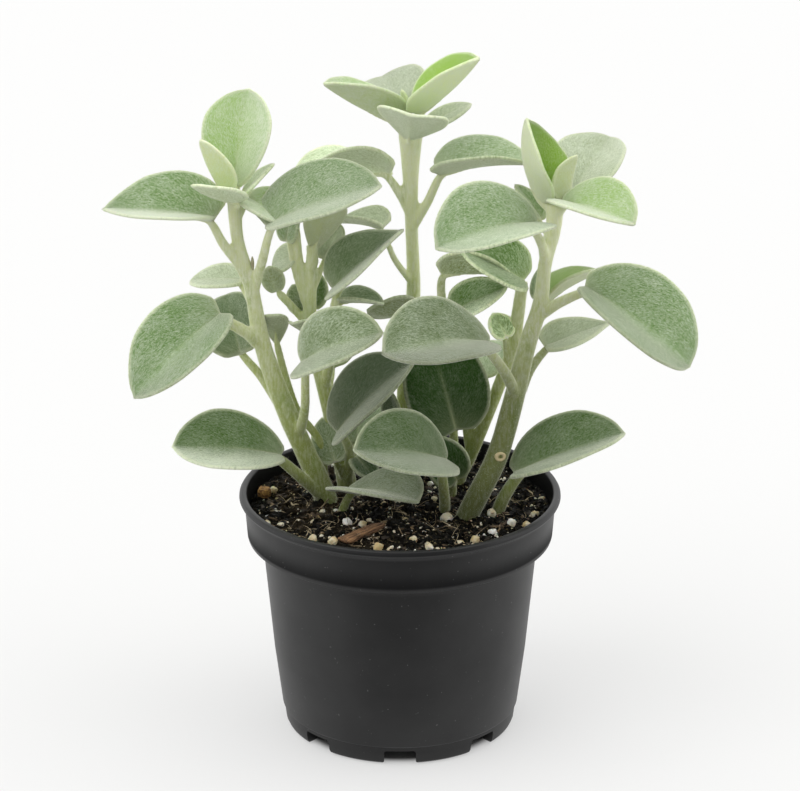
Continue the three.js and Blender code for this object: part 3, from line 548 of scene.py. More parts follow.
def bladeData(leaf, number):
    leaf = {**leafDefaults, **leaf}
    form = bladeForm
    draw = np.random.default_rng(form["seed"] + number)
    base = np.array(leaf["base"], dtype=float)
    chord = np.array(leaf["tip"]) - base
    length = np.linalg.norm(chord)
    along = chord / length
    face = np.array(leaf["face"], dtype=float)
    face = unit(face - face @ along * along)
    up, side = face, np.cross(along, face)
    small = length < smallLeafLength
    halfWidth = 0.5 * length * leaf["wide"]
    fold, arch = math.radians(leaf["fold"]), math.radians(leaf["arch"])
    bend = length / (2 * math.sin(arch / 2))

    # the unfolded half widths along the midrib, with the base's lobes swept back
    rows = form["smallRows"] if small else form["rows"]
    lines = smoothPath([(x * length, y * halfWidth) for x, y in outline], rows + 1)
    share = np.clip(lines[:, 0] / length, 0, 1)[:, None]
    q = across[None, :]
    neck = np.maximum(share, 1e-6) ** (leaf["neck"] * (1 - leaf["skew"] * q))
    width = np.maximum(lines[:, 1], 0)[:, None] * neck * np.maximum(1 - share, 1e-6) ** leaf["taper"]
    width[0] = width[-1] = 0
    lobe = form["lobe"] * np.minimum(1, share / form["lobeStart"])
    lobe = lobe * np.maximum(0, 1 - share / form["lobeEnd"]) ** 0.8 * (1 + leaf["skew"] * q)
    swept = share - lobe * np.abs(q) ** form["sweep"]

    # folded along the midrib, arched, rippled and twisted
    lean = arch * (0.5 - swept)
    foldHere = fold * mix(*form["foldEnds"], share)
    soft = mix(*form["softEnds"], share)
    lift = (np.sqrt(q * q + soft * soft) - soft) / (np.sqrt(1 + soft * soft) - soft)
    lift = lift * (1 + form["cup"] * (1 - lift))
    phase = draw.uniform(0, 6.28, 3)
    ripple = np.sin(7 * share + phase[0]) * q * np.abs(q)
    ripple = ripple + form["ripple"] * np.sin(11 * share + 3 * q + phase[1]) * q * q
    out = width * q
    rise = width * lift * np.sin(foldHere) + form["wave"] * width * ripple
    roll = math.radians(leaf["twist"]) * (swept - 0.5)[..., None]
    face, side = np.cos(roll) * face + np.sin(roll) * side, np.cos(roll) * side - np.sin(roll) * face
    normal = np.cos(lean)[..., None] * face - np.sin(lean)[..., None] * along
    middle = (base + (bend * (math.sin(arch / 2) - np.sin(lean)))[..., None] * along
              + (bend * (np.cos(lean) - math.cos(arch / 2)))[..., None] * up
              + (out * np.cos(foldHere))[..., None] * side + rise[..., None] * normal)

    # given a thickness, with a keel below and a groove above along the midrib
    runs = np.gradient(middle, axis=0)
    sides = np.gradient(middle, axis=1)
    outward = unit(np.cross(runs, sides))
    outward = np.where((np.sum(outward * normal, axis=-1) < 0)[..., None], -outward, outward)
    outward[0] = outward[1].mean(axis=0)
    outward[-1] = outward[-2].mean(axis=0)
    outward = unit(outward)
    thick = mix(form["smallThick"] if small else form["thick"], form["rim"], q * q)
    thick = thick * (1 - form["thinning"] * share)
    keel = form["keel"] * (1 - share) ** 1.3 * np.exp(-(q / form["keelWidth"]) ** 2) * (0.5 if small else 1)
    groove = form["groove"] * (1 - share) * np.exp(-(q / form["grooveWidth"]) ** 2)
    top = middle + outward * (thick / 2 - groove)[..., None]
    under = middle - outward * (thick / 2 + keel)[..., None]

    plane = np.stack([swept * length, out], axis=-1)
    rim = np.concatenate([plane[:, 0], plane[::-1, -1]])
    grow = unit(runs + 0.25 * q[..., None] * unit(sides) * length / rows)
    streaks = np.stack([halfWidth * np.abs(q) - 0.45 * swept * length,
                        swept * length + 0.3 * np.abs(out)], axis=-1)
    return dict(leaf=leaf, top=top, under=under, edge=distanceToRim(plane, rim), streaks=streaks, grow=grow,
                share=share + 0 * q, thick=thick, along=along, rib=middle[:, midrib], away=np.abs(out),
                outward=outward, length=length)


def oneHalf(amount, row, q, ease):
    # an amount that grows from the midrib over one half of the blade
    return max(0, amount * q) / max(ease, abs(q)) if row else 0


def addBlade(parts, given, number):
    data = bladeData(given, number)
    leaf, top, under = data["leaf"], data["top"], data["under"]
    rows, columns = top.shape[:2]
    tone = tones[leaf["tone"]]
    upper, lower = (*tone["face"], tone["felt"]), (*tone["under"], tone["underFelt"])
    index = np.zeros((3, rows, columns), dtype=int)

    def put(place, i, j, colour, edge):
        share = data["share"][i, j]
        nearRib = math.exp(-(data["away"][i, j] / leafLooks["ribWidth"]) ** 2)
        pale = leafLooks["ribPale"] * (1 - share) ** 2 * nearRib + leafLooks["basePale"] * (1 - share) ** 9
        # one half gets more hairs and more silver colour, the silver a painted sheen
        feltAndSheen = oneHalf(leaf["feltAndSheen"], i, across[j], 0.7)
        parts["places"].append(place)
        parts["tint"].append([*(mix(c, p, pale) for c, p in zip(colour, leafLooks["rib"])), 1])
        parts["cover"].append(colour[3] + feltAndSheen)
        parts["hair"].append(min(1, 2.6 * colour[3] + feltAndSheen))
        # a painted shade darkens one half, and light scales the leaf, partly its tone and partly painted light
        # and shade
        parts["light"].append(leaf["light"] * (1 - oneHalf(leaf["paintedShade"], i, across[j], 0.5)))
        parts["edge"].append(edge)
        parts["felt"].append([*data["streaks"][i, j], number * 7.3])
        parts["grow"].append(data["grow"][i, j])
        return len(parts["places"]) - 1

    for layer, (grid, colour) in enumerate(((top, upper), (under, lower))):
        for i in range(rows):
            for j in range(columns):
                if i in (0, rows - 1) and j > 0:
                    index[layer, i, j] = index[layer, i, 0]
                else:
                    index[layer, i, j] = put(grid[i, j], i, j, colour, data["edge"][i, j])

    # a rounded edge between the two sides
    edgeColour = tuple((a + b) / 2 for a, b in zip(upper, lower))
    for i in range(1, rows - 1):
        for j in (0, columns - 1):
            inner = 1 if j == 0 else columns - 2
            away = unit((top[i, j] - top[i, inner])[None])[0]
            place = (top[i, j] + under[i, j]) / 2 + away * 0.4 * data["thick"][i, j]
            index[2, i, j] = put(place, i, j, edgeColour, 0)
    for i, toward in ((0, -1), (rows - 1, 1)):
        place = (top[i, 0] + under[i, 0]) / 2 + toward * data["along"] * 0.4
        index[2, i, :] = put(place, i, 0, edgeColour, 0)

    def face(*corners):
        kept = withoutRepeats(corners)
        if len(kept) > 2:
            parts["faces"].append(kept)

    t, u, m = index
    last = columns - 1
    for i in range(rows - 1):
        for j in range(last):
            face(t[i, j], t[i + 1, j], t[i + 1, j + 1], t[i, j + 1])
            face(u[i, j], u[i, j + 1], u[i + 1, j + 1], u[i + 1, j])
        for a, b in ((t, m), (m, u)):
            face(a[i, last], a[i + 1, last], b[i + 1, last], b[i, last])
            face(a[i, 0], b[i, 0], b[i + 1, 0], a[i + 1, 0])


def makeBlades(name, shoot, firstNumber):
    kinds = dict(tint="FLOAT_COLOR", cover="FLOAT", hair="FLOAT", light="FLOAT", edge="FLOAT",
                 felt="FLOAT_VECTOR", grow="FLOAT_VECTOR")
    parts = {key: [] for key in ("places", "faces", *kinds)}
    for k, leaf in enumerate(shoot["leaves"]):
        addBlade(parts, leaf, firstNumber + k)
    mesh = meshFrom(name + "_blades", parts["places"], parts["faces"])
    for key, kind in kinds.items():
        addValues(mesh, key, kind, parts[key])
    return show(name + "_blades", mesh)


# Stems and stalks: tubes along their paths, melted into one skin
stemForm = {"Sides": 20, "Ribs": 0.03, "Rib Scale": 160.0}
skinForm = dict(cuts=36, thinnest=0.15, cell=0.62, smoothing=4, lightFrom=114, lightTo=170)
ribSteps = {0.05: 0.8, 0.16: 0.6, 0.3: 0.42, 0.5: 0.2}  # the midrib's radius along the blade, as shares


def tubeShape(material):
    shape = Shape("stem tube", {**stemForm, "Material": material})
    ring = shape.node("GeometryNodeCurvePrimitiveCircle", {}, {"Resolution": shape.size("Sides"),
                                                               "Radius": 1.0})
    noisy = shape.node("ShaderNodeTexNoise", {}, {"Scale": shape.size("Rib Scale"), "Detail": 1.0})
    radius = shape.node("GeometryNodeInputRadius") * (1 + (noisy - 0.5) * shape.size("Ribs") * 2)
    return shape.end(shape.node("GeometryNodeCurveToMesh", {}, {
        "Curve": shape.size("Geometry"), "Profile Curve": ring, "Scale": radius, "Fill Caps": True}))


def stalkOf(given):
    # a stalk that runs on under the blade as its midrib
    data = bladeData(given, 0)
    leaf, share = data["leaf"], data["share"][:, 0]
    radius = leaf["radius"] or stalkRadii["small" if data["length"] < smallLeafLength else "big"]
    rib = [tuple(data["rib"][i] - data["outward"][i, midrib] * 0.5 * data["thick"][i, midrib])
           for i in (np.abs(share - wanted).argmin() for wanted in ribSteps)]
    return dict(path=[*leaf["stalk"], *rib], radii=[*np.linspace(radius * 1.15, radius, len(leaf["stalk"])),
                                                    *(radius * leaf["rib"] * k for k in ribSteps.values())])


def makeStems(name, shoot, shape):
    curve = bpy.data.curves.new(name + "_paths", "CURVE")
    curve.dimensions = "3D"
    for stem in [*shoot.get("stems", []), *(stalkOf(leaf) for leaf in shoot["leaves"])]:
        points = [(*place, radius) for place, radius in zip(stem["path"], stem["radii"])]
        line = smoothPath(points, skinForm["cuts"])
        spline = curve.splines.new("POLY")
        spline.points.add(len(line) - 1)
        for point, (*place, radius) in zip(spline.points, line):
            point.co = (*(np.array(place) * mm), 1)
            point.radius = max(radius, skinForm["thinnest"]) * mm
    paths = show(name + "_paths", curve)
    tubes = shape.applyTo(paths, name + "_tubes")
    remesh = tubes.modifiers.new("melt", "REMESH")
    remesh.mode = "VOXEL"
    remesh.voxel_size = skinForm["cell"] * mm
    smooth = tubes.modifiers.new("smooth", "SMOOTH")
    smooth.factor = 0.5
    smooth.iterations = skinForm["smoothing"]
    skin = frozen(tubes, name + "_stems")
    drop(paths, tubes)
    mesh = skin.data
    mesh.polygons.foreach_set("use_smooth", [True] * len(mesh.polygons))
    high = np.array([v.co.z for v in mesh.vertices]) / mm
    low, top = skinForm["lightFrom"], skinForm["lightTo"]
    addValues(mesh, "edge", "FLOAT", np.full(len(high), 9.0))  # far from any leaf's rim
    addValues(mesh, "hair", "FLOAT", np.ones(len(high)))
    # the low part of a shoot's stems is darkened here, a painted shade under the leaves
    addValues(mesh, "light", "FLOAT", mix(shoot.get("light", 1), 1, np.clip((high - low) / (top - low), 0, 1)))
    addValues(mesh, "grow", "FLOAT_VECTOR", np.tile([0, 0, 0.35], (len(high), 1)))
    return skin


# Marks on the stems: a round leaf scar and a dry scale. A ring is its radius and its height.
marks = {
    "leaf_scar": dict(place=(32.4, -7.9, 99.6), way=(0.25, -0.97, 0.06), out=3.35, tall=0.85,
                      rings=[(0, 0.1), (0.35, 0.05), (0.7, 0.25), (1.2, 0.5), (1.6, 0.5), (1.9, 0.25),
                             (2, -0.7)],
                      inner=(0.2, 0.17, 0.06), outer=(0.62, 0.52, 0.3)),
    "dry_scale": dict(place=(-48.4, 0.2, 163.4), way=(0.2, -0.95, 0.1), out=1.2, tall=4.5,
                      rings=[(0, 0.5), (0.2, 0.45), (0.4, 0.3), (0.5, 0), (0.55, -0.6)],
                      inner=(0.3, 0.27, 0.17), outer=(0.42, 0.4, 0.26)),
}


def makeMark(name, form, sides=28, uneven=0.06):
    way = unit(np.array(form["way"]))
    aside = unit(np.cross((0, 0, 1), way))
    above = np.cross(way, aside) * form["tall"]
    rings, places, reach = form["rings"], [], []
    for radius, height in rings:
        for turn in np.linspace(0, 2 * math.pi, sides if radius else 1, endpoint=False):
            rough = 1 + uneven * noise.noise(Vector((math.cos(turn) * 2, math.sin(turn) * 2, radius)))
            flat = (aside * math.cos(turn) + above * math.sin(turn)) * radius * rough
            places.append(np.array(form["place"]) + way * (form["out"] + height) + flat)
            reach.append(radius / rings[-1][0])
    faces = []
    starts = [1 + k * sides for k in range(len(rings) - 1)]
    for s in range(sides):
        t = (s + 1) % sides
        faces.append([0, 1 + s, 1 + t])
        faces += [[a + s, b + s, b + t, a + t] for a, b in zip(starts, starts[1:])]
    faces.append([starts[-1] + s for s in range(sides)][::-1])
    mark = show(name, meshFrom(name, places, faces))
    addValues(mark.data, "reach", "FLOAT", reach)
    return mark


# Felt: short white hairs that lie along the leaves and stand off the stems
feltForm = {"Density": 0.95e6, "Rim Density": 4.0e6, "Rim": 0.4, "Length": 0.85 * mm, "Thickness": 0.021 * mm,
            "Lift": 0.65, "Seed": 7}
stemFeltForm = {"Density": 2.0e6, "Length": 0.65 * mm, "Lift": 0.9}


def feltShape(material):
    shape = Shape("felt", {**feltForm, "Material": material})
    rim = (shape.named("edge") < shape.size("Rim")) * shape.size("Rim Density")
    points = shape.node("GeometryNodeDistributePointsOnFaces", {}, {
        "Mesh": shape.size("Geometry"), "Density": (shape.size("Density") + rim) * shape.named("hair"),
        "Seed": shape.size("Seed")})
    up = shape.scaled(points.output("Normal"), shape.size("Lift"))
    loose = shape.random((-0.6, -0.6, -0.6), (0.6, 0.6, 0.6), seed=3)
    way = shape.vector("ADD", {0: up, 1: shape.named("grow", "FLOAT_VECTOR")})
    way = shape.vector("ADD", {0: way, 1: loose})
    turn = shape.node("FunctionNodeAlignRotationToVector", {"axis": "Z"}, {"Vector": way})
    long = shape.random(0.5, 1.3, seed=5) * shape.size("Length") / mm
    size = shape.node("ShaderNodeCombineXYZ", {}, {"X": 1.0, "Y": 1.0, "Z": long})
    cone = shape.node("GeometryNodeMeshCone", {"fill_type": "NGON"}, {
        "Vertices": 3, "Radius Top": 0.0, "Radius Bottom": shape.size("Thickness"), "Depth": mm})
    return shape.end(shape.copies(points, cone, {"Rotation": turn, "Scale": size}))


# Materials of the plant
# the stem ramp runs from dark at the foot to pale at the top, partly the stem's own colour and partly painted
# shade
stemLooks = dict(dark=(0.2, 0.29, 0.07), felt=(0.72, 0.75, 0.56), lowest=0.078, rampHeight=0.12, young=0.165,
                 old=0.085, cover=0.42, relief=0.15,
                 ramp=[(0.0, (0.185, 0.22, 0.06)), (0.3, (0.38, 0.44, 0.14)), (0.62, (0.62, 0.67, 0.34)),
                       (1.0, (0.70, 0.73, 0.45))])
hairColours = [(0.78, 0.81, 0.6), (0.9, 0.91, 0.8)]


def softFinish(name, roughness, sheen, sheenRoughness, tint, depth, spread, scale):
    return Finish(name, {"Roughness": roughness, "Sheen Weight": sheen, "Sheen Roughness": sheenRoughness,
                         "Sheen Tint": (*tint, 1), "Specular IOR Level": 0.2, "Subsurface Weight": depth,
                         "Subsurface Radius": spread, "Subsurface Scale": scale * mm})


def leafFinish(name, sheen):
    made = softFinish(name, roughness=0.75, sheen=sheen, sheenRoughness=0.45, tint=(0.97, 1.0, 0.86),
                      depth=0.1, spread=(0.6, 1.0, 0.25), scale=1.0)
    felt = made.attribute("felt", "Vector")
    streaks = made.grain(made.stretched(felt, (2.6, 0.9, 1)), 1.0, detail=3.0, roughness=0.6, bent=1.0)
    fine = made.grain(made.stretched(felt, (6.0, 3.0, 1)), 1.0, detail=2.0, roughness=0.6, bent=0.5)
    patches = made.grain(made.stretched(felt, (0.16, 0.12, 1)), 1.0, detail=2.0)
    cover = made.attribute("cover")
    pattern = (streaks - 0.5) * leafLooks["streaks"] + (fine - 0.5) * leafLooks["fine"]
    pattern = pattern + (patches - 0.5) * leafLooks["patches"]
    cover = (cover + pattern * (cover * 2.6 + 0.14).held(0.0, 1.0)).held(0.0, 0.97)
    colour = made.blend(cover, made.attribute("tint", "Color"), leafLooks["silver"])
    # a pale band along the edge, partly the hairy margin and partly a painted highlight where edge hairs catch
    # the light
    rim = (1 - made.between(0.05, leafLooks["rimWidth"], made.attribute("edge"))) * (0.15 + streaks * 0.7)
    colour = made.blend(rim, colour, leafLooks["rim"])
    made.feed("Base Color", made.scaled(colour, made.attribute("light")))
    made.bump(streaks + fine * 0.6, strength=0.8, depth=leafLooks["relief"])
    return made.material


def stemFinish():
    made = softFinish("felted stem", roughness=0.7, sheen=1.0, sheenRoughness=0.4, tint=(0.98, 1.0, 0.84),
                      depth=0.12, spread=(0.7, 1.0, 0.3), scale=1.2)
    place = made.place()
    height = made.axis(place, "Z")
    streaks = made.grain(made.stretched(place, (1.0, 1.0, 0.14)), 1700.0, detail=3.0, roughness=0.6, bent=0.4)
    patches = made.grain(made.stretched(place, (1.0, 1.0, 0.5)), 130.0, detail=3.0)
    mottle = made.grain(made.stretched(place, (1.0, 1.0, 0.45)), 900.0, detail=3.0, roughness=0.65)
    # darker towards the foot, partly the stem's own colour and partly painted shade low in the plant
    colour = made.ramp((height - stemLooks["lowest"]) / stemLooks["rampHeight"], stemLooks["ramp"])
    colour = made.blend(made.between(0.5, 0.75, patches) * 0.5, colour, stemLooks["dark"])
    aged = made.between(stemLooks["young"], stemLooks["old"], height)
    pattern = ((streaks - 0.5) * 2.0 + (mottle - 0.5) * 2.0) * (1 - aged * 0.55)
    pattern = pattern + stemLooks["cover"] - aged * 0.36
    colour = made.blend(pattern.held(0.0, 0.9), colour, stemLooks["felt"])
    made.feed("Base Color", made.scaled(colour, made.attribute("light")))
    made.bump(streaks, strength=0.5, depth=stemLooks["relief"])
    return made.material


def hairFinish():
    made = Finish("white hair", {"Roughness": 0.6})
    made.feed("Base Color", made.blend(made.grain(made.place(), 900.0, detail=1.0), *hairColours))
    return made.material


def markFinish(name, form):
    made = Finish(name.replace("_", " "), {"Roughness": 0.8})
    grain = made.grain(made.place(), 1500.0, detail=2.0)
    out = made.between(0.2, 0.6, made.attribute("reach") + (grain - 0.5) * 0.5)
    made.feed("Base Color", made.blend(out, form["inner"], form["outer"]))
    return made.material


# Pot: its profile turned about the axis, with drain notches and holes cut through
potForm = {"Facets": 160, "Notches": 8, "Holes": 5, "Hole Radius": 2.8 * mm, "Hole Ring": 22.0 * mm}
notch = dict(width=10.6, height=5.4, corner=1.3, inner=34.0, outer=47.0)
potProfile = [
    (0, 3.5), (34.2, 3.5), (34.6, 3.2), (34.8, 0.4), (35.1, 0), (36.9, 0), (37.9, 0.25), (38.7, 0.9), (39.2, 2),
    (39.5, 4.5), (39.82, 6.7), (40.1, 6.95), (40.3, 7.4), (42.8, 27.4), (46.2, 64.4), (46.3, 65.3), (46.45, 66),
    (46.9, 66.5), (48.6, 67.1), (50.4, 67.7), (51.2, 68.2), (51.4, 68.8), (51.46, 69.6), (52.2, 79.6),
    (52.25, 80.2), (52.5, 80.75), (53.2, 81.1), (53.7, 81.45), (54, 82.1), (53.95, 82.75), (53.65, 83.3),
    (53.2, 83.6), (52.6, 83.7), (52, 83.55), (51.5, 83.2), (51.2, 82.5), (50.6, 79), (49.8, 69.4), (49.3, 68.6),
    (46.6, 67.7), (45, 66.6), (44.75, 65), (41.4, 27.4), (38.3, 6), (38, 5.4), (37.4, 5), (0, 5),
]
potLooks = dict(dark=(0.005, 0.005, 0.0054), light=(0.0085, 0.0085, 0.0088), scuff=(0.02, 0.02, 0.021),
                speck=(0.12, 0.12, 0.12), line=(0.035, 0.035, 0.036), roughness=0.5, coat=0.7, cloudyCoat=0.3,
                frontGloss=0.5, innerShade=0.75, relief=0.2)


def notchCutter():
    # a prism through the foot, as wide as a notch and rounded at its corners
    half, high, corner = notch["width"] / 2, notch["height"], notch["corner"]
    right = [(half + corner + 0.2, -1), (half + corner, 0)]
    right += [(half + corner - corner * math.sin(t), corner - corner * math.cos(t))
              for t in np.linspace(0.3, 1.57, 5)]
    right += [(half - corner * 0.7 * (1 - math.cos(t)), high - corner * 0.7 * (1 - math.sin(t)))
              for t in np.linspace(0, 1.57, 5)]
    rim = right + [(-a, b) for a, b in reversed(right)]
    count = len(rim)
    places = [(x, a, b) for x in (notch["inner"], notch["outer"]) for a, b in rim]
    faces = [list(range(count))[::-1], [count + k for k in range(count)]]
    faces += [[k, (k + 1) % count, count + (k + 1) % count, count + k] for k in range(count)]
    return show("notchCutter", meshFrom("notchCutter", places, faces, False))


def makePot(material):
    profile = show("potProfile", meshFrom("potProfile", [(r, 0, z) for r, z in potProfile], []))
    cutter = notchCutter()
    shape = Shape("turned pot", {**potForm, "Profile": profile, "Cutter": cutter, "Material": material})
    rows = len(potProfile)
    grid = shape.node("GeometryNodeMeshGrid", {}, {"Size X": 1.0, "Size Y": 1.0, "Vertices Y": rows,
                                                   "Vertices X": shape.size("Facets") + 1})
    position = shape.node("GeometryNodeInputPosition")
    where = shape.axis(position)
    turn = (where + 0.5) * (2 * math.pi)
    spot = shape.axis(shape.node("GeometryNodeSampleIndex", {"data_type": "FLOAT_VECTOR"}, {
        "Geometry": shape.meshOf("Profile"), "Value": position,
        "Index": (where.output("Y") + 0.5) * (rows - 1) + 0.01}))
    cosine, sine = (shape.node("ShaderNodeMath", {"operation": name}, {0: turn}) for name in ("COSINE", "SINE"))
    around = shape.node("ShaderNodeCombineXYZ", {}, {"X": spot * cosine, "Y": spot * sine,
                                                     "Z": spot.output("Z")})
    wall = shape.node("GeometryNodeSetPosition", {}, {"Geometry": grid, "Position": around})
    wall = shape.node("GeometryNodeMergeByDistance", {}, {"Geometry": wall, "Distance": 1e-6})

    ring = shape.node("GeometryNodeMeshCircle", {}, {"Vertices": shape.size("Notches"), "Radius": 1e-5})
    step = shape.node("GeometryNodeInputIndex") * (2 * math.pi) / shape.size("Notches")
    spin = shape.turned(shape.node("ShaderNodeCombineXYZ", {}, {"Z": step}))
    notches = shape.copies(ring, shape.meshOf("Cutter"), {"Rotation": spin})
    spots = shape.together(shape.node("GeometryNodeMeshCircle", {}, {"Vertices": shape.size("Holes"),
                                                                     "Radius": shape.size("Hole Ring")}),
                           shape.node("GeometryNodeMeshLine", {}, {"Count": 1}))
    rod = shape.node("GeometryNodeMeshCylinder", {}, {"Vertices": 28, "Radius": shape.size("Hole Radius"),
                                                      "Depth": 20 * mm})
    cuts = shape.together(notches, shape.copies(spots, rod, {}))
    cuts = shape.node("GeometryNodeRealizeInstances", {}, {0: cuts})
    shape.end(shape.node("GeometryNodeMeshBoolean", {"operation": "DIFFERENCE", "solver": "EXACT"},
                         {0: wall, 1: cuts}))
    seed = show("potSeed", meshFrom("potSeed", [(0, 0, 0)], []))
    pot = shape.applyTo(seed, "pot_shell")
    drop(seed, profile, cutter)
    smoothBy(pot, angle=24)
    return pot


def smoothBy(piece, angle):
    # smooth shading, apart from edges sharper than the angle
    piece.data.polygons.foreach_set("use_smooth", [True] * len(piece.data.polygons))
    bpy.context.view_layer.objects.active = piece
    with bpy.context.temp_override(object=piece, active_object=piece, selected_objects=[piece],
                                   selected_editable_objects=[piece]):
        bpy.ops.object.shade_smooth_by_angle(angle=math.radians(angle))


def potFinish():
    made = Finish("charcoal plastic", {"Roughness": potLooks["roughness"], "Specular IOR Level": 0.0,
                                       "Coat IOR": 1.5, "Coat Roughness": 0.42})
    place = made.place()
    fine = made.grain(place, 2600.0, detail=2.0)
    cloudy = made.grain(place, 45.0, detail=3.0, roughness=0.6)
    scuffs = made.grain(made.stretched(place, (1.0, 1.0, 3.0)), 150.0, detail=4.0, roughness=0.7)
    specks = made.grain(place, 900.0, detail=1.0)
    across = made.axis(place)
    height = across.output("Z")
    reach = (across * across + across.output("Y") * across.output("Y")) ** 0.5
    # a pale line round the pot on the small step just above its foot, a painted highlight
    line = made.between(6.6 * mm, 6.8 * mm, height) * made.between(7.4 * mm, 7.1 * mm, height)
    colour = made.blend(cloudy, potLooks["dark"], potLooks["light"])
    colour = made.blend(made.between(0.64, 0.76, scuffs) * 0.25, colour, potLooks["scuff"])
    colour = made.blend(made.between(0.74, 0.8, specks) * 0.5, colour, potLooks["speck"])
    colour = made.blend(line * (cloudy * 1.6 - 0.3).held(0.0, 1.0), colour, potLooks["line"])
    made.feed("Base Color", colour)
    # the collar's inner side shines less, a painted shade inside the pot's mouth
    innerShadeMask = made.between(52.0 * mm, 51.4 * mm, reach) * made.between(69 * mm, 70 * mm, height)
    facing = made.node("ShaderNodeLayerWeight", {}, {"Blend": 0.5}, "Facing")
    gloss = made.between(0.05, 0.26, facing) * (1 - potLooks["frontGloss"]) + potLooks["frontGloss"]
    coat = (potLooks["coat"] + cloudy * potLooks["cloudyCoat"]) * gloss
    made.feed("Coat Weight", coat * (1 - innerShadeMask * potLooks["innerShade"]))
    made.bump(fine * 0.3 + cloudy, strength=0.25, depth=potLooks["relief"])
    return made.material


# Soil: a body that fills the pot, with crumbs, perlite, fibres and bark on its top
soilForm = dict(top=77.5, edge=50.3, rings=80, spokes=210, relief=1.5, wave=0.7)
soilWall = [(0, 5.3), (37.7, 5.3), (41.1, 27.4), (44.45, 65), (44.7, 66.8), (46.4, 68), (49, 68.9),
            (49.45, 69.6)]
frontGrains = [
    (15.5, -11.5, 2), (-17.5, -16, 1.6), (-12.5, -16.5, 1.4), (-43, 11, 1.3), (-44, -16, 1.2),
    (-22, -33.5, 1.4), (-7, -38.5, 1.5), (30.5, -9.5, 1.5), (45, -9, 1.3), (42, -18.5, 1.3), (30.5, -24.5, 1.4),
    (37, -17.5, 1.5), (11.5, 3, 1.2), (-28.5, -31, 1.4), (24.5, -31, 1.4), (9.5, -37.5, 1.3), (4.5, -31, 1.2),
]
soilLooks = dict(
    brown=(0.05, 0.034, 0.015), black=(0.004, 0.0038, 0.0024), crack=(0.02, 0.014, 0.008),
    dirt=(0.16, 0.12, 0.065),
    mix=[(0.45, (0.0005, 0.0004, 0.0002)), (0.55, (0.0022, 0.0019, 0.001)), (0.62, (0.035, 0.028, 0.013)),
         (0.71, (0.4, 0.33, 0.17))],
    chips=[(0.35, (0.008, 0.006, 0.004)), (0.47, (0.03, 0.02, 0.011)), (0.58, (0.07, 0.043, 0.021)),
           (0.7, (0.27, 0.19, 0.10))],
    perlite=[(0.34, (0.52, 0.40, 0.19)), (0.43, (0.66, 0.58, 0.38)), (0.54, (0.78, 0.73, 0.58)),
             (0.66, (0.86, 0.85, 0.8))],
    fibre=[(0.36, (0.05, 0.034, 0.017)), (0.47, (0.2, 0.14, 0.075)), (0.6, (0.58, 0.48, 0.31))],
)


def soilHeight(x, y):
    wave = soilForm["wave"] * 0.5 * (math.sin(0.24 * x + 0.6) + math.cos(0.27 * y - 0.05 * x))
    spot = Vector((x, y, 0))
    lumps = noise.noise(spot * 0.33) * 0.6 + noise.noise(spot * 0.9) * 0.45 + noise.noise(spot * 2.1) * 0.3
    return soilForm["top"] + wave + soilForm["relief"] * lumps


def makeSoil():
    spokes, rings = soilForm["spokes"], soilForm["rings"]
    rows = [*soilWall, *((soilForm["edge"] * (1 - k / rings), None) for k in range(rings + 1))]
    skin = []
    for r, z in rows:
        turns = [2 * math.pi * k / spokes for k in range(spokes if r > 1e-6 else 1)]
        ring = [(r * math.cos(turn), r * math.sin(turn)) for turn in turns]
        skin.append([(x, y, soilHeight(x, y) if z is None else z) for x, y in ring])
    return ringSkin("soil_body", skin)


def lump(name, detail, roughness, seed, shape=(1, 1, 0.85), radius=1):
    # an irregular grain
    sphere = bpy.data.meshes.new(name)
    build = bmesh.new()
    bmesh.ops.create_icosphere(build, subdivisions=detail, radius=1)
    for vertex in build.verts:
        shift = noise.noise(vertex.co * 1.3 + Vector((seed * 3.7, 0, 0))) * roughness
        shift += noise.noise(vertex.co * 3.1 + Vector((0, seed * 5.1, 0))) * roughness * 0.5
        vertex.co = vertex.co * (1 + shift) * Vector(shape) * radius * mm
    build.to_mesh(sphere)
    build.free()
    return show(name, sphere)


def strand(name, length, radius, curl, seed):
    # a bent fibre that lies flat
    draw = np.random.default_rng(seed)
    steps = np.linspace(-0.5, 0.5, 9)
    path = [(length * t, curl * length * (math.sin(5 * t + seed) - math.sin(seed)) * 0.3,
             0.4 + abs(0.3 * length * curl * math.sin(4 * t))) for t in steps]
    places, faces, sides = [], [], 4
    for step, (x, y, z) in zip(steps, path):
        thin = radius * (1 - 0.6 * abs(step) * 2 * draw.uniform(0.8, 1))
        turns = [2 * math.pi * s / sides for s in range(sides)]
        places += [(x, y + thin * math.cos(turn), z + thin * math.sin(turn)) for turn in turns]
    for k in range(len(path) - 1):
        for s in range(sides):
            a, b = k * sides + s, k * sides + (s + 1) % sides
            faces.append([a, b, b + sides, a + sides])
    faces += [list(range(sides))[::-1], [len(places) - sides + s for s in range(sides)]]
    return show(name, meshFrom(name, places, faces))


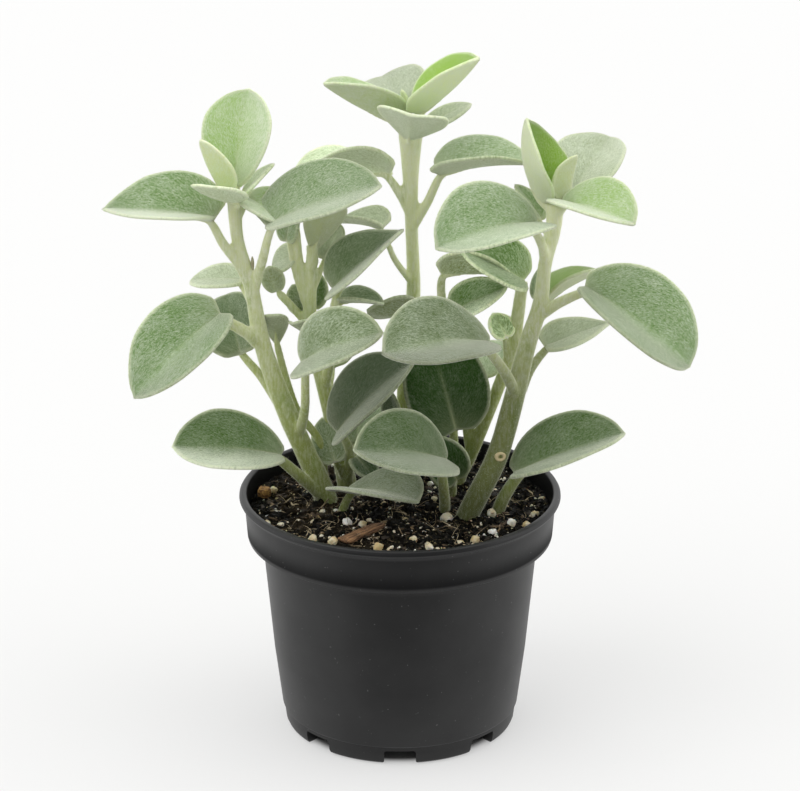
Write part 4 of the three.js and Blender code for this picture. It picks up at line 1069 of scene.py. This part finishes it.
def makeScatter(name, ground, form, material):
    # copies of a thing over the ground, turned at random
    thing = form["thing"]
    sizes = {"Margin": form.get("margin", 1.2) * mm, "Density": form["density"], "Smallest": form["sizes"][0],
             "Largest": form["sizes"][1], "Seed": form["seed"], "Thing": thing, "Material": material}
    shape = Shape(name, sizes)
    where = shape.axis(shape.node("GeometryNodeInputPosition"))
    reach = where * where + where.output("Y") * where.output("Y")
    rim = soilForm["edge"] * mm - shape.size("Margin")
    high = 1 - (where.output("Z") < (soilForm["top"] - 4) * mm)
    points = shape.node("GeometryNodeDistributePointsOnFaces", {}, {
        "Mesh": shape.size("Geometry"), "Selection": (reach < rim * rim) * high,
        "Density": shape.size("Density"), "Seed": shape.size("Seed")})
    turn = shape.turned(shape.random((-0.5, -0.5, 0), (0.5, 0.5, 2 * math.pi), seed=shape.size("Seed")))
    grow = shape.random(shape.size("Smallest"), shape.size("Largest"), seed=shape.size("Seed"))
    size = shape.scaled(shape.random((0.7, 0.7, 0.6), (1.3, 1.2, 1.0), seed=11), grow)
    shape.end(shape.copies(points, shape.meshOf("Thing"), {"Rotation": turn, "Scale": size}))
    made = shape.applyTo(ground, name)
    drop(thing)
    return made


def makeFrontGrains(material):
    # the larger grains that show at the front, each at its own place
    places, faces = [], []
    for k, (x, y, radius) in enumerate(frontGrains):
        grain = lump(f"frontGrain{k}", detail=3, roughness=0.3, seed=k + 20, radius=radius * 1.1)
        shift = Vector((x, y, soilHeight(x, y) + 0.65 * radius)) * mm
        turn = Euler((k * 1.3, k * 0.7, k * 2.1)).to_matrix().to_4x4()
        grain.data.transform(Matrix.Translation(shift) @ turn)
        faces += [[len(places) + v for v in p.vertices] for p in grain.data.polygons]
        places += [tuple(v.co) for v in grain.data.vertices]
        drop(grain)
    mesh = bpy.data.meshes.new("soil_front_grains")
    mesh.from_pydata(places, [], faces)
    mesh.polygons.foreach_set("use_smooth", [True] * len(mesh.polygons))
    mesh.materials.append(material)
    return show("soil_front_grains", mesh)


# Bark on the soil: an outline raised to a rough slab. A level is its share of the outline and its height.
barkPieces = {
    "bark_chip": dict(outline=[(-20.5, -31.5), (-17, -34.5), (-12.2, -29), (-6.2, -22.6), (-4.8, -19.4),
                               (-7.2, -18.6), (-13.6, -24.6)],
                      low=78.1, thickness=1.6, direction=45, dark=(0.055, 0.025, 0.011),
                      light=(0.34, 0.185, 0.085)),
    "bark_chunk": dict(outline=[(-48.2, 5.4), (-45.2, 4.7), (-43.6, 6.8), (-44.8, 9.2), (-47.4, 8.8)],
                       low=78.1, thickness=3.0, direction=20, dark=(0.10, 0.042, 0.012),
                       light=(0.46, 0.26, 0.075)),
}
barkLevels = [(0.0, 0.0), (0.86, 0.0), (0.97, 0.15), (1.0, 0.5), (0.96, 0.85), (0.82, 1.0), (0.55, 1.0),
              (0.28, 1.0), (0.0, 1.0)]


def makeBark(name, form):
    rim = np.array(form["outline"], dtype=float)
    middle = rim.mean(axis=0)
    smooth = smoothPath([*rim, rim[0]], 41)[:-1]
    skin = []
    for inward, height in barkLevels:
        ring = []
        for corner in smooth if inward else smooth[:1]:
            x, y = middle + (corner - middle) * inward
            rough = noise.noise(Vector((x, y, height)) * 0.9) * 0.35
            rough = (rough + noise.noise(Vector((x, y, 3)) * 2.3) * 0.15) * (height > 0.4)
            ring.append((x, y, form["low"] + form["thickness"] * height + rough))
        skin.append(ring)
    return ringSkin(name + "_rough", skin)


# Materials of the soil
def soilFinish():
    made = Finish("potting mix", {"Specular IOR Level": 0.12})
    place = made.place()
    crumbs = made.grain(place, 800.0, detail=5.0, roughness=0.75)
    patches = made.grain(place, 110.0, detail=3.0)
    wet = made.between(0.45, 0.6, made.grain(place, 300.0, detail=2.0))
    brown = made.between(0.4, 0.62, patches) * made.between(0.012, -0.03, made.axis(place))
    colour = made.blend(brown * 0.35, made.ramp(crumbs, soilLooks["mix"]), soilLooks["brown"])
    made.feed("Base Color", made.blend(made.between(0.5, 0.4, patches) * 0.6, colour, soilLooks["black"]))
    made.feed("Roughness", 0.85 - wet * 0.4)
    made.bump(crumbs, strength=1.0, depth=0.6)
    return made.material


def chipFinish():
    made = Finish("bark bits", {"Specular IOR Level": 0.4, "Roughness": 0.7})
    place = made.place()
    fibres = made.grain(made.stretched(place, (1.0, 0.2, 1.0)), 1800.0, detail=3.0)
    colour = made.ramp(made.grain(place, 170.0, detail=2.0), soilLooks["chips"])
    made.feed("Base Color", made.blend(made.between(0.45, 0.7, fibres) * 0.5, colour, soilLooks["crack"]))
    made.bump(fibres, strength=0.8, depth=0.3)
    return made.material


def perliteFinish():
    made = Finish("perlite", {"Roughness": 0.75, "Subsurface Weight": 0.1, "Subsurface Scale": 0.5 * mm})
    place = made.place()
    dirt = made.between(0.57, 0.72, made.grain(place, 700.0, detail=3.0, roughness=0.6))
    colour = made.ramp(made.grain(place, 210.0, detail=2.0), soilLooks["perlite"])
    made.feed("Base Color", made.blend(dirt * 0.6, colour, soilLooks["dirt"]))
    made.bump(made.grain(place, 1500.0, detail=3.0, roughness=0.6), strength=0.5, depth=0.3)
    return made.material


def fibreFinish():
    made = Finish("straw fibre", {"Roughness": 0.8})
    made.feed("Base Color", made.ramp(made.grain(made.place(), 180.0, detail=2.0), soilLooks["fibre"]))
    return made.material


def barkFinish(name, dark, light, direction):
    made = Finish(name, {"Roughness": 0.85})
    place = made.place()
    lengthwise = made.node("ShaderNodeMapping", {}, {"Vector": place,
                                                     "Rotation": (0, 0, math.radians(-direction))})
    fibres = made.grain(made.stretched(lengthwise, (0.12, 1.0, 1.0)), 1600.0, detail=4.0, roughness=0.6)
    patches = made.grain(place, 300.0, detail=2.0)
    colour = made.blend(made.between(0.35, 0.68, fibres), dark, light)
    made.feed("Base Color", made.blend(made.between(0.55, 0.7, patches) * 0.5, colour, dark))
    made.bump(fibres, strength=0.8, depth=0.4)
    return made.material


# The camera stands where the photograph's did, a metre off and looking down on the leaves
view = dict(distance=1.0, height=0.4933, pitch=20.61, lens=144.63, sensor=36)
camera = show("camera", bpy.data.cameras.new("camera"))
camera.data.lens = view["lens"]
camera.data.sensor_width = view["sensor"]
camera.data.clip_end = 20
camera.location = (0, -view["distance"], view["height"])
camera.rotation_euler = (math.radians(90 - view["pitch"]), 0, 0)
bpy.context.scene.camera = camera

# Pale floor and soft light all round, dimmer from the camera's side; the floor has a painted shadow under the
# pot and a painted shade at its front
studio = dict(floor=(0.38, 0.38, 0.377, 1), glow=0.44, glowColour=(1, 1, 0.995), shadowRadii=(33.5, 37.5),
              frontShadeEdge=(-0.2, -0.075), frontShadeLevel=0.72, sky=1.27, front=0.48)
corners = [(-3000, -3000, 0), (3000, -3000, 0), (3000, 4000, 0), (-3000, 4000, 0)]
floor = show("floor", meshFrom("floor", corners, [[0, 1, 2, 3]]))
floorFinish = Finish("lit floor", {"Base Color": studio["floor"], "Roughness": 0.9, "Specular IOR Level": 0.0,
                                   "Emission Color": (*studio["glowColour"], 1),
                                   "Emission Strength": studio["glow"]})
floor.data.materials.append(floorFinish.material)
reach = floorFinish.vector("LENGTH", {0: floorFinish.place()}, "Value")
# the glow is taken out under the pot, a painted shadow
clear = floorFinish.between(studio["shadowRadii"][0] * mm, studio["shadowRadii"][1] * mm, reach)
ahead = floorFinish.axis(floorFinish.place(), "Y")
# the floor's front is painted darker in its glow and colour, a painted shade
frontShade = floorFinish.between(*studio["frontShadeEdge"], ahead) * (1 - studio["frontShadeLevel"]) + studio["frontShadeLevel"]
glow = floorFinish.blend(clear, (0, 0, 0), studio["glowColour"])
floorFinish.feed("Emission Color", floorFinish.scaled(glow, frontShade))
floorFinish.feed("Base Color", floorFinish.scaled(studio["floor"][:3], frontShade))

world = bpy.data.worlds.new("studio")
world.use_nodes = True
air = Bench(world.node_tree)
facing = air.axis(air.node("ShaderNodeTexCoord", {}, {}, "Generated"), "Y")
strength = air.between(-0.9, 0.1, facing) * (studio["sky"] - studio["front"]) + studio["front"]
backdrop = world.node_tree.nodes["Background"]
backdrop.inputs["Color"].default_value = (1, 1, 1, 1)
world.node_tree.links.new(strength.socket, backdrop.inputs["Strength"])
bpy.context.scene.world = world
bpy.context.scene.view_settings.view_transform = "Standard"

suns = {
    "left_window": dict(way=(0.45, 0.35, -0.8), power=1.0, spread=50),
    "right_window": dict(way=(-0.7, 0.1, -0.7), power=0.55, spread=60),
}
for name, sun in suns.items():
    light = bpy.data.lights.new(name, "SUN")
    light.energy = sun["power"]
    light.angle = math.radians(sun["spread"])
    show(name, light).rotation_euler = Vector(sun["way"]).to_track_quat("-Z", "Y").to_euler()
print("camera, floor and light are set")

# Everything is made here
leafLook = leafFinish("felted leaf", sheen=1.0)
smoothLook = leafFinish("smoother leaf", sheen=0.0)
stemLook = stemFinish()
tubes = tubeShape(stemLook)
felt = feltShape(hairFinish())
number = 0
for name, shoot in shoots.items():
    blades = makeBlades(name, shoot, number)
    stems = makeStems(name, shoot, tubes)
    number += len(shoot["leaves"])
    bladeLook = smoothLook if shoot.get("smooth") else leafLook
    for piece, look, changed in ((blades, bladeLook, {}), (stems, stemLook, stemFeltForm)):
        dress(felt.applyTo(piece, piece.name + "_felt", changed), None)
        dress(piece, look, [name])
    print(name, len(shoot["leaves"]), "leaves")

for name, form in marks.items():
    dress(makeMark(name, form), markFinish(name, form))

dress(makePot(potFinish()), None, ["pot"])
print("pot is turned")

soil = makeSoil()
looks = dict(mix=soilFinish(), perlite=perliteFinish(), chips=chipFinish(), fibre=fibreFinish())
litter = {
    "soil_crumbs": dict(thing=lump("crumb", detail=1, roughness=0.7, seed=1), look="mix", density=0.36e6,
                        sizes=(0.35, 1.2), seed=4),
    "soil_clods": dict(thing=lump("clod", detail=2, roughness=0.8, seed=2), look="mix", density=0.045e6,
                       sizes=(0.9, 2.2), seed=9, margin=2),
    "soil_bits": dict(thing=lump("bit", detail=1, roughness=0.6, seed=6, shape=(1.9, 0.8, 0.35)), look="chips",
                      density=0.06e6, sizes=(0.5, 1.6), seed=15, margin=2.5),
    "soil_specks": dict(thing=lump("speck", detail=1, roughness=0.4, seed=3), look="perlite", density=0.13e6,
                        sizes=(0.15, 0.5), seed=21),
    "soil_perlite": dict(thing=lump("perlite", detail=2, roughness=0.26, seed=3), look="perlite",
                         density=0.024e6, sizes=(0.5, 1.3), seed=27, margin=1.8),
    "soil_fibres": dict(thing=strand("fibre", length=9, radius=0.11, curl=0.6, seed=2), look="fibre",
                        density=0.032e6, sizes=(0.35, 1.2), seed=33, margin=6),
    "soil_slivers": dict(thing=strand("sliver", length=6, radius=0.3, curl=0.25, seed=5), look="fibre",
                         density=0.032e6, sizes=(0.4, 1.1), seed=41, margin=4),
}
pieces = [makeScatter(name, soil, form, looks[form["look"]]) for name, form in litter.items()]
for piece in (*pieces, makeFrontGrains(looks["perlite"])):
    dress(piece, None)
dress(soil, looks["mix"], ["soil"])
for name, form in barkPieces.items():
    look = barkFinish(name, form["dark"], form["light"], form["direction"])
    dress(makeBark(name, form), look, [name])
print("soil and bark are laid")

for piece in bpy.context.scene.objects:
    if piece.type == "MESH" and not piece.hide_render:
        print(piece.name, sum(len(p.vertices) - 2 for p in piece.data.polygons), "triangles")
